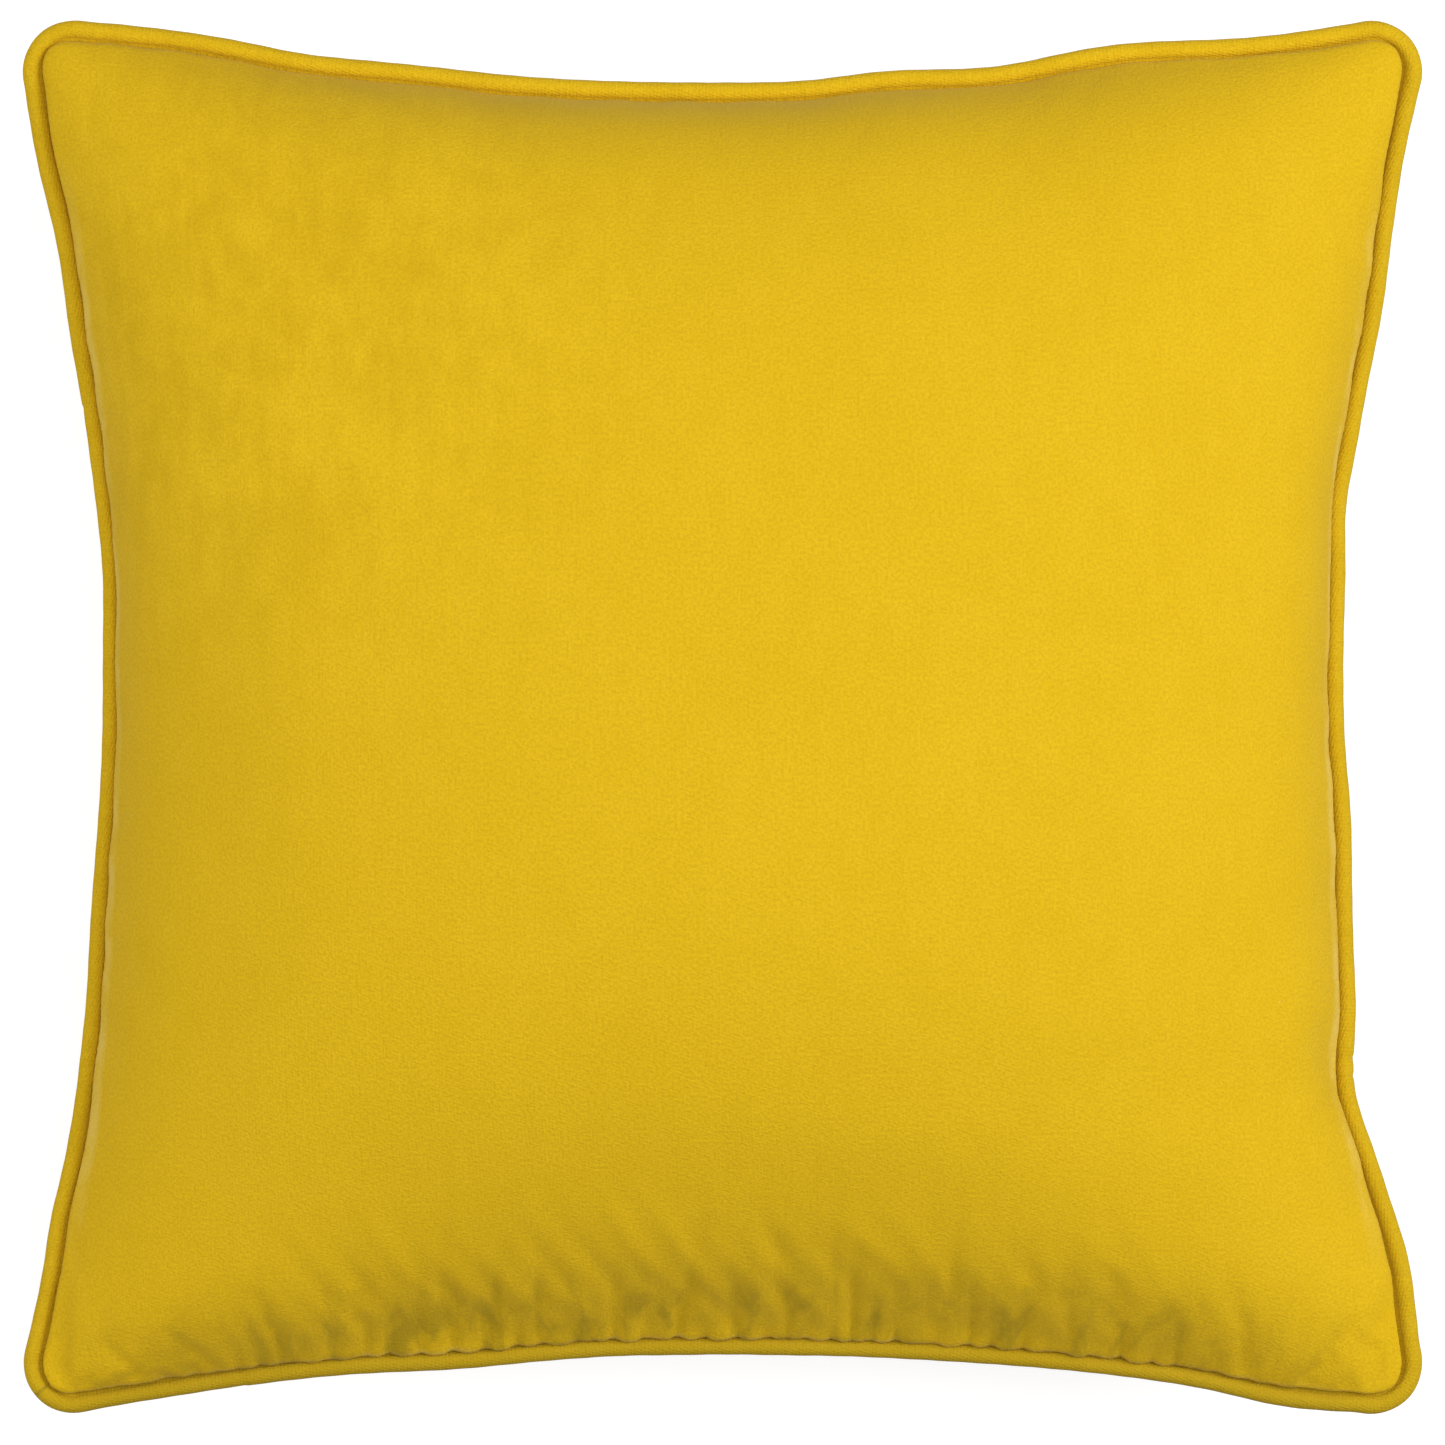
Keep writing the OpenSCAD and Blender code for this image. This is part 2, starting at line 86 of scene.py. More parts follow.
def side_arcs(side):
    """Points from the middle of one corner to the middle of the next, and inward directions."""
    half = (HALF_W, HALF_L)[side % 2] - CORNER_R
    run = (HALF_L, HALF_W)[side % 2] - CORNER_R

    def lean(which):
        own = (HALF_W, HALF_L)[which % 2] - CORNER_R
        bow = BOWS[which % 4]
        return math.asin(2 * own * bow / (own ** 2 + bow ** 2))

    radius = (half ** 2 + BOWS[side] ** 2) / (2 * BOWS[side])
    quarter = math.pi / 2
    before = np.linspace((-3 * quarter - lean(side - 1) + lean(side)) / 2, lean(side) - quarter,
                         CORNER_POINTS)
    after = np.linspace(-quarter - lean(side), (lean(side + 1) - lean(side) - quarter) / 2,
                        CORNER_POINTS)
    turn = np.linspace(-lean(side), lean(side), SIDE_POINTS)
    inward = np.concatenate([
        -np.stack([np.cos(before), np.sin(before)], 1),
        np.stack([np.sin(turn), np.cos(turn)], 1),
        -np.stack([np.cos(after), np.sin(after)], 1),
    ])
    centres = np.concatenate([
        np.tile([-half, -run], (CORNER_POINTS, 1)),
        np.tile([0, -(run + radius - BOWS[side])], (SIDE_POINTS, 1)),
        np.tile([half, -run], (CORNER_POINTS, 1)),
    ])
    reach = np.concatenate([
        np.full(CORNER_POINTS, -CORNER_R),
        np.full(SIDE_POINTS, radius - CORNER_R),
        np.full(CORNER_POINTS, -CORNER_R),
    ])[:, None]
    cos, sin = [(1, 0), (0, 1), (-1, 0), (0, -1)][side]
    spin = np.array([[cos, sin], [-sin, cos]])
    return (centres + reach * inward) @ spin, inward @ spin


# %% Sway of the four sides
# Each side's sway is a few soft swells: where along the side, how wide, how far outwards.
SWAY = (
    ((-82, 28, 1.7), (0, 80, 0.5), (176, 22, 2.3)),
    ((130, 32, 2.4), (66, 16, -1.6), (-35, 28, 2.0), (-116, 20, -4.4), (-172, 20, 2.7)),
    ((-165, 30, 2.5), (-100, 25, 1.2), (55, 22, 2.4), (125, 35, 4.7)),
    ((175, 22, 1.6), (122, 26, 1.3), (48, 20, -1.1), (-55, 35, 1.5), (-158, 14, 1.2)),
)
SWAY_END = 0.208              # from a side's middle to where its sway has died out
SWAY_FADE = 0.018             # and the run over which it dies


def sway(side, along):
    """How far outwards the seam sways at a place along a side, in metres."""
    swell = sum(out * np.exp(-((along / MM - at) / wide) ** 2) for at, wide, out in SWAY[side])
    steady = np.clip((SWAY_END - np.abs(along)) / SWAY_FADE, 0, 1)
    return swell * MM * steady * steady * (3 - 2 * steady)


class SeamLine:
    """Evenly spaced stations round the seam, counter-clockwise from the bottom left corner."""

    def __init__(self, per_side, swaying=True):
        points, inward = [], []
        for side in range(4):
            place, into = side_arcs(side)
            if swaying:
                place = place - into * sway(side, place[:, side % 2])[:, None]
            far = np.r_[0, np.cumsum(np.linalg.norm(np.diff(place, axis=0), axis=1))]
            want = np.linspace(0, far[-1], per_side + 1)[:-1]
            points.append(np.stack([np.interp(want, far, place[:, k]) for k in (0, 1)], 1))
            inward.append(np.stack([np.interp(want, far, into[:, k]) for k in (0, 1)], 1))
        self.points = np.concatenate(points)
        ahead = np.roll(self.points, -1, 0) - np.roll(self.points, 1, 0)
        into = np.stack([-ahead[:, 1], ahead[:, 0]], 1)
        self.inward = into / np.linalg.norm(into, axis=1)[:, None]
        step = np.linalg.norm(np.roll(self.points, -1, 0) - self.points, axis=1)
        self.length = float(step.sum())
        self.far = np.r_[0, np.cumsum(step)[:-1]]
        self.per_side = per_side
        self.open = np.zeros(len(self.points))

    def ring(self, inset, height):
        """The line moved into the pillow by inset, at a height above the seam."""
        flat = self.points + self.inward * np.broadcast_to(inset, len(self.points))[:, None]
        return np.column_stack([flat, SEAM_Z + np.broadcast_to(height, len(flat))])


seam = SeamLine(128)
print(f"seam line {seam.length:.3f} m, with {len(seam.points)} stations")

# %% [markdown]
# ## Making meshes
#
# Cloth, cords and threads all come down to three builders: a grid of quads, a ring of
# quads between two loops, and a tube that follows a path. Writing them once keeps each
# piece below short, and keeps every surface clean quads or fans with no stray faces.

# %% Mesh builders
def in_scene(name, data):
    """A new object that holds this mesh, lamp or camera, put in the scene."""
    thing = bpy.data.objects.new(name, data)
    bpy.context.scene.collection.objects.link(thing)
    return thing


def flat_square(name, half, height):
    """A square surface that faces up."""
    mesh = bpy.data.meshes.new(name)
    corners = [(-half, -half, height), (half, -half, height), (half, half, height), (-half, half, height)]
    mesh.from_pydata(corners, [], [(0, 1, 2, 3)])
    return in_scene(name, mesh)


def new_piece(name, verts, faces, material, slot):
    mesh = bpy.data.meshes.new(name)
    mesh.from_pydata([tuple(v) for v in np.asarray(verts, float)], [], faces)
    mesh.validate()
    mesh.shade_smooth()
    mesh.materials.append(material)
    piece = in_scene(name, mesh)
    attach(piece, "cushion")
    return piece


def band(first, second, count, closed=True):
    """Quads between two loops of the same count, given by their first vertex numbers."""
    last = count if closed else count - 1
    return [(first + j, first + (j + 1) % count, second + (j + 1) % count, second + j)
            for j in range(last)]


def frames_along(path, closed):
    """A sideways and an upward direction at each point of a path, without sudden twists."""
    if closed:
        ahead = np.roll(path, -1, 0) - np.roll(path, 1, 0)
    else:
        ahead = np.gradient(path, axis=0)
    ahead = ahead / np.linalg.norm(ahead, axis=1)[:, None]
    up = np.tile([0.0, 0.0, 1.0], (len(path), 1))
    steep = np.abs(ahead[:, 2]) > 0.9
    up[steep] = (0.6, 0.8, 0.0)
    side = np.cross(ahead, up)
    side = side / np.linalg.norm(side, axis=1)[:, None]
    return side, np.cross(side, ahead)


def tube(path, radius, sides=6, closed=False):
    """Vertices and faces of a round tube, or of a closed ring, along a path."""
    path = np.asarray(path, float)
    across, up = frames_along(path, closed)
    angle = np.arange(sides) * 2 * math.pi / sides
    rim = np.broadcast_to(radius, len(path))[:, None, None]
    verts = path[:, None] + rim * (
        np.cos(angle)[None, :, None] * across[:, None] + np.sin(angle)[None, :, None] * up[:, None]
    )
    faces = []
    for j in range(len(path) - (0 if closed else 1)):
        faces += band(j * sides, (j + 1) % len(path) * sides, sides)
    if not closed:
        end = (len(path) - 1) * sides
        faces += [tuple(range(sides)), tuple(range(end, end + sides))[::-1]]
    return verts.reshape(-1, 3), [tuple(reversed(f)) for f in faces]


def joined(parts):
    """One mesh from several (vertices, faces) pairs."""
    verts, faces, start = [], [], 0
    for v, f in parts:
        verts.append(v)
        faces += [tuple(k + start for k in face) for face in f]
        start += len(v)
    return np.concatenate(verts), faces


def finer(rows):
    """Doubles a grid along its first direction, by the four-point rule."""
    ends = np.concatenate([2 * rows[:1] - rows[1:2], rows, 2 * rows[-1:] - rows[-2:-1]])
    middles = (9 * (ends[1:-2] + ends[2:-1]) - ends[:-3] - ends[3:]) / 16
    out = np.empty((2 * len(rows) - 1, *rows.shape[1:]))
    out[::2] = rows
    out[1::2] = middles
    return out


def finer_grid(grid):
    return finer(finer(grid).swapaxes(0, 1)).swapaxes(0, 1)


def grid_normals(grid):
    """Upward unit normals of a grid of points."""
    n = np.cross(np.gradient(grid, axis=0), np.gradient(grid, axis=1))
    return n / np.maximum(np.linalg.norm(n, axis=2), 1e-12)[..., None]


def grid_faces(count, start=0, flip=False):
    """Quads of a square grid with this many points a side."""
    faces = [(start + i * count + j, start + (i + 1) * count + j,
              start + (i + 1) * count + j + 1, start + i * count + j + 1)
             for i in range(count - 1) for j in range(count - 1)]
    return [f[::-1] for f in faces] if flip else faces


def border(count):
    """Where a grid's edge points are in it, counter-clockwise from the first corner."""
    last = count - 1
    i = [*range(last), *[last] * last, *range(last, 0, -1), *[0] * last]
    j = [*[0] * last, *range(last), *[last] * last, *range(last, 0, -1)]
    return np.array(i), np.array(j)


def patch(edge, count):
    """Fills a closed loop of 4 x (count - 1) points with a grid (a Coons patch)."""
    n = count - 1
    low, right = edge[: n + 1], edge[n : 2 * n + 1]
    high = edge[2 * n : 3 * n + 1][::-1]
    left = np.concatenate([edge[:1], edge[3 * n :][::-1]])
    u = np.linspace(0, 1, count)[:, None, None]
    v = np.linspace(0, 1, count)[None, :, None]
    corners = ((1 - u) * (1 - v) * low[0] + u * (1 - v) * low[-1]
               + (1 - u) * v * high[0] + u * v * high[-1])
    return ((1 - v) * low[:, None] + v * high[:, None]
            + (1 - u) * left[None] + u * right[None] - corners)

# %% [markdown]
# ## Camera, light and floor
#
# The pillow lies on its back and the camera looks straight down on its face, from far
# enough that the sides don't splay. A long lens keeps the square square. Three broad soft
# lamps light it: the key from the right, a weaker one from the left, and one overhead, so
# that the pile brightens towards the right and the zip edge falls into its own shade.

# %% Camera
LENS = 120                    # millimetres, on a sensor of this width
SENSOR = 36
FRAME_WIDTH = 0.4541          # what the picture spans at the height of the seam
camera_data = bpy.data.cameras.new("studio_camera")
camera_data.lens = LENS
camera_data.sensor_width = SENSOR
camera = in_scene("studio_camera", camera_data)
camera_height = LENS / SENSOR * FRAME_WIDTH
camera.location = (0, -0.0017, SEAM_Z + camera_height)
bpy.context.scene.camera = camera
print(f"camera {camera_height:.2f} m above the seam")

# %% Lamps and sky
def soft_lamp(name, place, aim, size, watts):
    lamp = bpy.data.lights.new(name, "AREA")
    lamp.shape = "DISK"
    lamp.size = size
    lamp.energy = watts
    holder = in_scene(name, lamp)
    holder.location = place
    holder.rotation_euler = (Vector(aim) - Vector(place)).to_track_quat("-Z", "Y").to_euler()


soft_lamp("key_lamp", (1.3, 0.3, 1.25), (0, 0, SEAM_Z), 1.1, 20.4)
soft_lamp("side_lamp", (-1.6, 0.2, 0.8), (0, 0, SEAM_Z), 0.9, 10.4)
soft_lamp("top_lamp", (0.1, 0.05, 2.1), (0, 0, SEAM_Z), 1.2, 16.8)

SKY_LIGHT = 0.26              # what the sky gives the pillow
SKY_SEEN = 0.98               # and how bright the backdrop looks
world = bpy.data.worlds.new("studio")
bpy.context.scene.world = world
world.use_nodes = True
sky = world.node_tree
background = sky.nodes["Background"].inputs
background["Color"].default_value = (1, 1, 1, 1)
seen = sky.nodes.new("ShaderNodeMapRange")
seen.inputs["To Min"].default_value = SKY_LIGHT
seen.inputs["To Max"].default_value = SKY_SEEN
sky.links.new(sky.nodes.new("ShaderNodeLightPath").outputs["Is Camera Ray"], seen.inputs["Value"])
sky.links.new(seen.outputs["Result"], background["Strength"])
bpy.context.scene.view_settings.view_transform = "Standard"

# %% [markdown]
# ## Node helpers
#
# Velvet, cotton, tape and thread share some effects: a pile that clouds where a hand has
# brushed it, a fine grain, a weave, and lint. Each is one node group, built once and
# placed in every material that needs it with values of its own. A group could hold the
# whole shader, but the shader stays outside so that an exporter can read its sockets.

# %% Node wiring
def wire(tree, *pairs):
    for a, b in pairs:
        tree.links.new(a, b)


def math_node(tree, kind, *values):
    node = tree.nodes.new("ShaderNodeMath")
    node.operation = kind
    for socket, value in zip(node.inputs, values):
        if isinstance(value, bpy.types.NodeSocket):
            tree.links.new(value, socket)
        else:
            socket.default_value = value
    return node.outputs[0]


def mix_colour(tree, share, a, b):
    node = tree.nodes.new("ShaderNodeMix")
    node.data_type = "RGBA"
    for socket, value in zip((node.inputs[0], node.inputs[6], node.inputs[7]), (share, a, b)):
        if isinstance(value, bpy.types.NodeSocket):
            tree.links.new(value, socket)
        else:
            socket.default_value = value if socket is node.inputs[0] else (*value, 1)
    return node.outputs[2]


def map_range(tree, value, low, high, to_low=0.0, to_high=1.0):
    """A soft step from one range of numbers to another."""
    node = tree.nodes.new("ShaderNodeMapRange")
    node.interpolation_type = "SMOOTHSTEP"
    wire(tree, (value, node.inputs["Value"]))
    limits = {"From Min": low, "From Max": high, "To Min": to_low, "To Max": to_high}
    for name, number in limits.items():
        node.inputs[name].default_value = number
    return node.outputs["Result"]


def noise(tree, place, scale, detail=2.0, rough=0.5, spread=0.0):
    node = tree.nodes.new("ShaderNodeTexNoise")
    wire(tree, (place, node.inputs["Vector"]))
    if isinstance(scale, bpy.types.NodeSocket):
        wire(tree, (scale, node.inputs["Scale"]))
    else:
        node.inputs["Scale"].default_value = scale
    node.inputs["Detail"].default_value = detail
    node.inputs["Roughness"].default_value = rough
    node.inputs["Distortion"].default_value = spread
    return node.outputs["Fac"]


def new_group(name, inputs, outputs):
    """An empty shader node group with named value sockets, its inputs and its outputs."""
    group = bpy.data.node_groups.new(name, "ShaderNodeTree")
    group.interface.new_socket("Vector", in_out="INPUT", socket_type="NodeSocketVector")
    for label, value in inputs:
        socket = group.interface.new_socket(label, in_out="INPUT", socket_type="NodeSocketFloat")
        socket.default_value = value
    for label in outputs:
        group.interface.new_socket(label, in_out="OUTPUT", socket_type="NodeSocketFloat")
    return group, group.nodes.new("NodeGroupInput").outputs, group.nodes.new("NodeGroupOutput").inputs


def place_group(tree, group, vector, **values):
    """A group in a material, with its own values; cloud_size sets the input Cloud size."""
    node = tree.nodes.new("ShaderNodeGroup")
    node.node_tree = group
    wire(tree, (vector, node.inputs["Vector"]))
    for label, value in values.items():
        node.inputs[label.replace("_", " ").capitalize()].default_value = value
    return node.outputs


# %% [markdown]
# ### Pile clouds
#
# Velvet looks lighter or darker where its pile leans towards or away from the eye, and
# every touch leaves a patch. Two soft noises make the broad clouds, a stretched one makes
# the brush marks, and a very fine one makes the tufts themselves.

# %% Group: pile clouds
clouds, cloud_in, cloud_out = new_group(
    "Pile clouds", (("Cloud size", 0.08), ("Mottle", 0.5), ("Tuft size", 0.0007)), ("Shade", "Tufts")
)
one_over = math_node(clouds, "DIVIDE", 1.0, cloud_in["Cloud size"])
broad = noise(clouds, cloud_in["Vector"], one_over, 3, 0.55, 0.3)
patches = noise(clouds, cloud_in["Vector"], math_node(clouds, "MULTIPLY", one_over, 4.5), 4, 0.6, 0.6)
brushed = clouds.nodes.new("ShaderNodeMapping")
brushed.inputs["Scale"].default_value = (1.0, 0.28, 1.0)
brushed.inputs["Rotation"].default_value = (0, 0, 0.6)
wire(clouds, (cloud_in["Vector"], brushed.inputs["Vector"]))
strokes = noise(clouds, brushed.outputs["Vector"], math_node(clouds, "MULTIPLY", one_over, 9), 3, 0.55)
mottled = math_node(clouds, "MULTIPLY", math_node(clouds, "ADD", patches, strokes), cloud_in["Mottle"])
summed = math_node(clouds, "ADD", broad, mottled)
shade = math_node(clouds, "DIVIDE", summed, math_node(clouds, "MULTIPLY_ADD", cloud_in["Mottle"], 2.0, 1.0))
tufts = noise(clouds, cloud_in["Vector"], math_node(clouds, "DIVIDE", 1.0, cloud_in["Tuft size"]), 2, 0.6)
wire(clouds, (map_range(clouds, shade, 0.34, 0.66), cloud_out["Shade"]), (tufts, cloud_out["Tufts"]))

# %% [markdown]
# ### Weave
#
# A woven ground is two sets of threads at right angles. Two sine waves along the cloth's
# own directions, one for warp and one for weft, give the height of a plain weave. The
# alternative, an image of cloth, would tile and would not follow the panel's cut.

# %% Group: weave
weave, weave_in, weave_out = new_group(
    "Weave", (("Thread spacing", 0.0006), ("Twill", 0.0)), ("Height", "Gaps")
)
across = weave.nodes.new("ShaderNodeSeparateXYZ")
wire(weave, (weave_in["Vector"], across.inputs[0]))
turns = math_node(weave, "DIVIDE", 2 * math.pi, weave_in["Thread spacing"])
phase_x = math_node(weave, "MULTIPLY", across.outputs["X"], turns)
slant = math_node(weave, "MULTIPLY", phase_x, weave_in["Twill"])
phase_y = math_node(weave, "MULTIPLY_ADD", across.outputs["Y"], turns, slant)
warp = math_node(weave, "SINE", phase_x)
weft = math_node(weave, "SINE", phase_y)
height = math_node(weave, "MULTIPLY_ADD", math_node(weave, "ADD", warp, weft), 0.25, 0.5)
wire(weave, (height, weave_out["Height"]), (map_range(weave, height, 0.0, 0.3, 1, 0), weave_out["Gaps"]))

# %% [markdown]
# ### Lint
#
# A few pale specks of fibre always sit on pile. Cells of a Voronoi pattern give one
# speck each: a small dot round each cell's point.

# %% Group: lint
lint, lint_in, lint_out = new_group("Lint", (("Speck size", 0.0005), ("Spacing", 0.03)), ("Specks",))
cells = lint.nodes.new("ShaderNodeTexVoronoi")
cells.inputs["Randomness"].default_value = 1
wire(lint, (lint_in["Vector"], cells.inputs["Vector"]),
     (math_node(lint, "DIVIDE", 1.0, lint_in["Spacing"]), cells.inputs["Scale"]))
reach = math_node(lint, "DIVIDE", lint_in["Speck size"], lint_in["Spacing"])
near = math_node(lint, "LESS_THAN", cells.outputs["Distance"], reach)
wire(lint, (near, lint_out["Specks"]))

# %% Material helper
def new_material(name, roughness, **settings):
    """A material with one Principled shader; plain numbers go on its own sockets."""
    material = bpy.data.materials.new(name)
    material.use_nodes = True
    tree = material.node_tree
    shader = tree.nodes["Principled BSDF"]
    shader.inputs["Roughness"].default_value = roughness
    for label, value in settings.items():
        shader.inputs[label.replace("_", " ")].default_value = value
    return material, tree, shader.inputs


def cloth_place(tree):
    """Where a point is on the flat cloth it was cut from, in metres."""
    node = tree.nodes.new("ShaderNodeAttribute")
    node.attribute_name = "cloth"
    return node.outputs["Vector"]


def body_place(tree):
    node = tree.nodes.new("ShaderNodeTexCoord")
    return node.outputs["Object"]


def bump(tree, height, strength, distance, before=None):
    node = tree.nodes.new("ShaderNodeBump")
    node.inputs["Strength"].default_value = strength
    node.inputs["Distance"].default_value = distance
    wire(tree, (height, node.inputs["Height"]))
    if before is not None:
        wire(tree, (before, node.inputs["Normal"]))
    return node.outputs["Normal"]


# %% [markdown]
# ## Velvet
#
# Cut velvet is a short dense pile on a woven ground. It has almost no gloss; instead its
# edges glow where one looks along the pile. The Principled shader's sheen gives that glow,
# and the pile clouds shift the base colour between a warm gold and a deeper ochre.

# %% Material: velvet of the panels
GOLD = (0.80, 0.515, 0.0095)
OCHRE = (0.64, 0.395, 0.006)
LINT_CREAM = (0.9, 0.72, 0.2)
# Pale colour for painted sheen along the panel's edges.
PAINTED_SHEEN_PALE = (0.80, 0.62, 0.17)
# Olive for painted shade, in the folds above the gathered seam and on the piping's lower side.
PAINTED_SHADE_OLIVE = (0.33, 0.225, 0.008)
# Dark gold for the fine grain, as painted shade between tufts and between threads.
PAINTED_GAP_SHADE = (0.42, 0.25, 0.003)
HANDLED_AT = (-0.145, 0.125, 0)


def handled_share(tree, at, least):
    """How strongly the pile clouds show: most round the upper left, where hands have brushed it."""
    node = tree.nodes.new("ShaderNodeVectorMath")
    node.operation = "DISTANCE"
    wire(tree, (at, node.inputs[0]))
    node.inputs[1].default_value = HANDLED_AT
    return map_range(tree, node.outputs["Value"], 0.03, 0.15, 0.75, least)


def from_middle(tree, value):
    return math_node(tree, "ABSOLUTE", value)


def painted_edge_sheen(tree, axes, shade):
    """Painted sheen: pale bands down the left and right edges and along the hem, beside the seams."""
    x, y = from_middle(tree, axes["X"]), from_middle(tree, axes["Y"])
    band_here = map_range(tree, x, 0.2105, 0.2145, 0, 1)
    ends = map_range(tree, y, 0.125, 0.185, 1, 0)
    patchy = map_range(tree, shade, 0.2, 0.8, 0.25, 1)
    sides = math_node(tree, "MULTIPLY", band_here, ends)
    hem = map_range(tree, axes["Y"], -0.2195, -0.2165, 0.7, 0)
    return math_node(tree, "MULTIPLY", math_node(tree, "MAXIMUM", sides, hem), patchy)


def painted_fold_shade(tree, at, axes):
    """Painted shade: dark leaning streaks above the gathered seam, in its folds, darker towards the bottom.
    """
    low = map_range(tree, axes["Y"], -0.212, -0.172, 1, 0)
    middle = map_range(tree, from_middle(tree, axes["X"]), 0.12, 0.2, 1, 0.35)
    turned = tree.nodes.new("ShaderNodeMapping")
    turned.inputs["Rotation"].default_value = (0, 0, -0.62)
    turned.inputs["Scale"].default_value = (1.0, 0.4, 1.0)
    wire(tree, (at, turned.inputs["Vector"]))
    leaning_shade = map_range(tree, noise(tree, turned.outputs["Vector"], 85, 4, 0.6, 0.4), 0.44, 0.68)
    return math_node(tree, "MULTIPLY", math_node(tree, "MULTIPLY", low, middle), leaning_shade)


def velvet(name, cloud_size, mottle, sheen, lean_share, panel=True):
    material, tree, sockets = new_material(
        name, 0.86, Sheen_Weight=sheen, Sheen_Roughness=0.38, Specular_IOR_Level=0.12
    )
    sockets["Sheen Tint"].default_value = (1.0, 0.86, 0.45, 1)
    at = cloth_place(tree)
    pile = place_group(tree, clouds, at, cloud_size=cloud_size, mottle=mottle, tuft_size=0.001)
    ground = place_group(tree, weave, at, thread_spacing=0.0011, twill=0.35)
    specks = place_group(tree, lint, at, speck_size=0.00035, spacing=0.042)
    handled = math_node(tree, "SUBTRACT", pile["Shade"], 0.5)
    handled = math_node(tree, "MULTIPLY_ADD", handled, handled_share(tree, at, lean_share), 0.5)
    colour = mix_colour(tree, handled, OCHRE, GOLD)
    # Fine grain of the tufts; its dark between them is painted shade.
    grain = map_range(tree, pile["Tufts"], 0.3, 0.7, 0.34, 0)
    colour = mix_colour(tree, grain, colour, PAINTED_GAP_SHADE)
    if panel:
        axes = tree.nodes.new("ShaderNodeSeparateXYZ")
        wire(tree, (at, axes.inputs[0]))
        # Painted sheen: pale bands mixed into the base colour along the side edges and the hem.
        edge_sheen = math_node(tree, "MULTIPLY", painted_edge_sheen(tree, axes.outputs, pile["Shade"]), 0.4)
        colour = mix_colour(tree, edge_sheen, colour, PAINTED_SHEEN_PALE)
        # Painted shade: olive streaks mixed into the base colour in the folds above the gathered seam.
        fold_shade = math_node(tree, "MULTIPLY", painted_fold_shade(tree, at, axes.outputs), 0.62)
        colour = mix_colour(tree, fold_shade, colour, PAINTED_SHADE_OLIVE)
    else:
        # Painted shade on the piping: each side darkened by the share stored on its vertices.
        painted_side_shade = tree.nodes.new("ShaderNodeAttribute")
        painted_side_shade.attribute_name = "painted_side_shade"
        colour = mix_colour(tree, painted_side_shade.outputs["Fac"], colour, PAINTED_SHADE_OLIVE)
    # Weave gaps darkened: the weave's pattern, with painted shade between the threads.
    threads = math_node(tree, "MULTIPLY", ground["Gaps"], 0.08 if panel else 0.24)
    colour = mix_colour(tree, threads, colour, PAINTED_GAP_SHADE)
    colour = mix_colour(tree, math_node(tree, "MULTIPLY", specks["Specks"], 0.5), colour, LINT_CREAM)
    rough = map_range(tree, pile["Shade"], 0, 1, 0.92, 0.8)
    relief = bump(tree, pile["Tufts"], 0.55, 0.0006)
    relief = bump(tree, ground["Height"], 0.15 if panel else 0.5, 0.0003, relief)
    wire(tree, (colour, sockets["Base Color"]), (rough, sockets["Roughness"]),
         (relief, sockets["Normal"]))
    return material


panel_velvet = velvet("gold_velvet", 0.05, 0.8, 0.13, 0.2)
piping_velvet = velvet("gold_velvet_on_the_bias", 0.03, 0.6, 0.15, 0.5, panel=False)

# %% [markdown]
# ## The two velvet panels
#
# Each panel is cut as a flat square, sewn to the piping round its border, and blown up by
# the pad. That is what is done here: the cloth is the flat cut, a shape key draws its
# pinned border to the seam, and pressure pushes the rest out until the cloth is tight.
# Sculpting could give a crown as well, but not the slack that gathers where the cut is
# longer than the seam. Most folds are then relaxed, as a full pad smooths them out. The
# size of the cut was found by trying several, until the crown came near the CAD crown.

# %% Edges of the panels
PANEL_N = 128                 # quads along a side in the simulation
LIP = 3.6 * MM                # from the piping's middle to where a panel meets it
EDGE_Z = 0.75 * MM            # from the seam's middle up to a panel's right side
SLIT_Z = 4.65 * MM            # depth of the back panel's free edge along the zip
ZIP_ZONE = 165 * MM           # half the length where the back panel hangs free
ZIP_FADE = 180 * MM           # and where it is sewn again
ZIP_RADIUS = ((HALF_W - CORNER_R) ** 2 + BOWS[0] ** 2) / (2 * BOWS[0]) - CORNER_R


def zip_arc(x):
    """Distance along the bottom seam from its middle."""
    return ZIP_RADIUS * np.arcsin(np.clip(x / ZIP_RADIUS, -1, 1))


def opened(line):
    """1 where the zip holds the back panel apart from the piping, 0 where it is sewn."""
    along = np.abs(zip_arc(line.points[:, 0]))
    share = np.clip((ZIP_FADE - along) / (ZIP_FADE - ZIP_ZONE), 0, 1)
    return share * share * (3 - 2 * share) * (line.points[:, 1] < -0.15)


class BackLine(SeamLine):
    """The seam line, but true to the zip's arc along the zip."""

    def __init__(self, per_side):
        super().__init__(per_side)
        plain = SeamLine(per_side, swaying=False)
        held = opened(plain)[:, None]
        self.points = self.points * (1 - held) + plain.points * held
        self.inward = self.inward * (1 - held) + plain.inward * held
        self.open = held[:, 0]      # 1 where the zip holds the panel apart


back_seam = BackLine(PANEL_N)

# %% The flat cut and the rough crown
CUT_HALF = 222 * MM           # half the side of a panel, from seam to seam
GATHER = 0.045                # extra cloth eased into the bottom seam


def flat_cut(count, gather):
    """A square with its corners trimmed, and wider towards the bottom edge."""
    side = np.linspace(-1, 1, count)
    x, y = np.meshgrid(side, side, indexing="ij")
    trim = 0.018 * (np.abs(x) * np.abs(y)) ** 14
    x, y = x * (1 - trim) * CUT_HALF, y * (1 - trim) * CUT_HALF
    eased = gather * np.exp(-((y + CUT_HALF) / (38 * MM)) ** 2)
    return np.stack([x * (1 + eased), y, np.zeros_like(x)], 2)


def rough_crown(edge, height, count):
    """A crown over a closed edge, as a start for the cloth."""
    grid = patch(edge, count)
    side = np.abs(np.linspace(-1, 1, count)) ** 2.2
    rise = np.sqrt(np.clip((1 - side)[:, None] * (1 - side)[None, :], 0, 1))
    grid[..., 2] += height * rise
    return grid


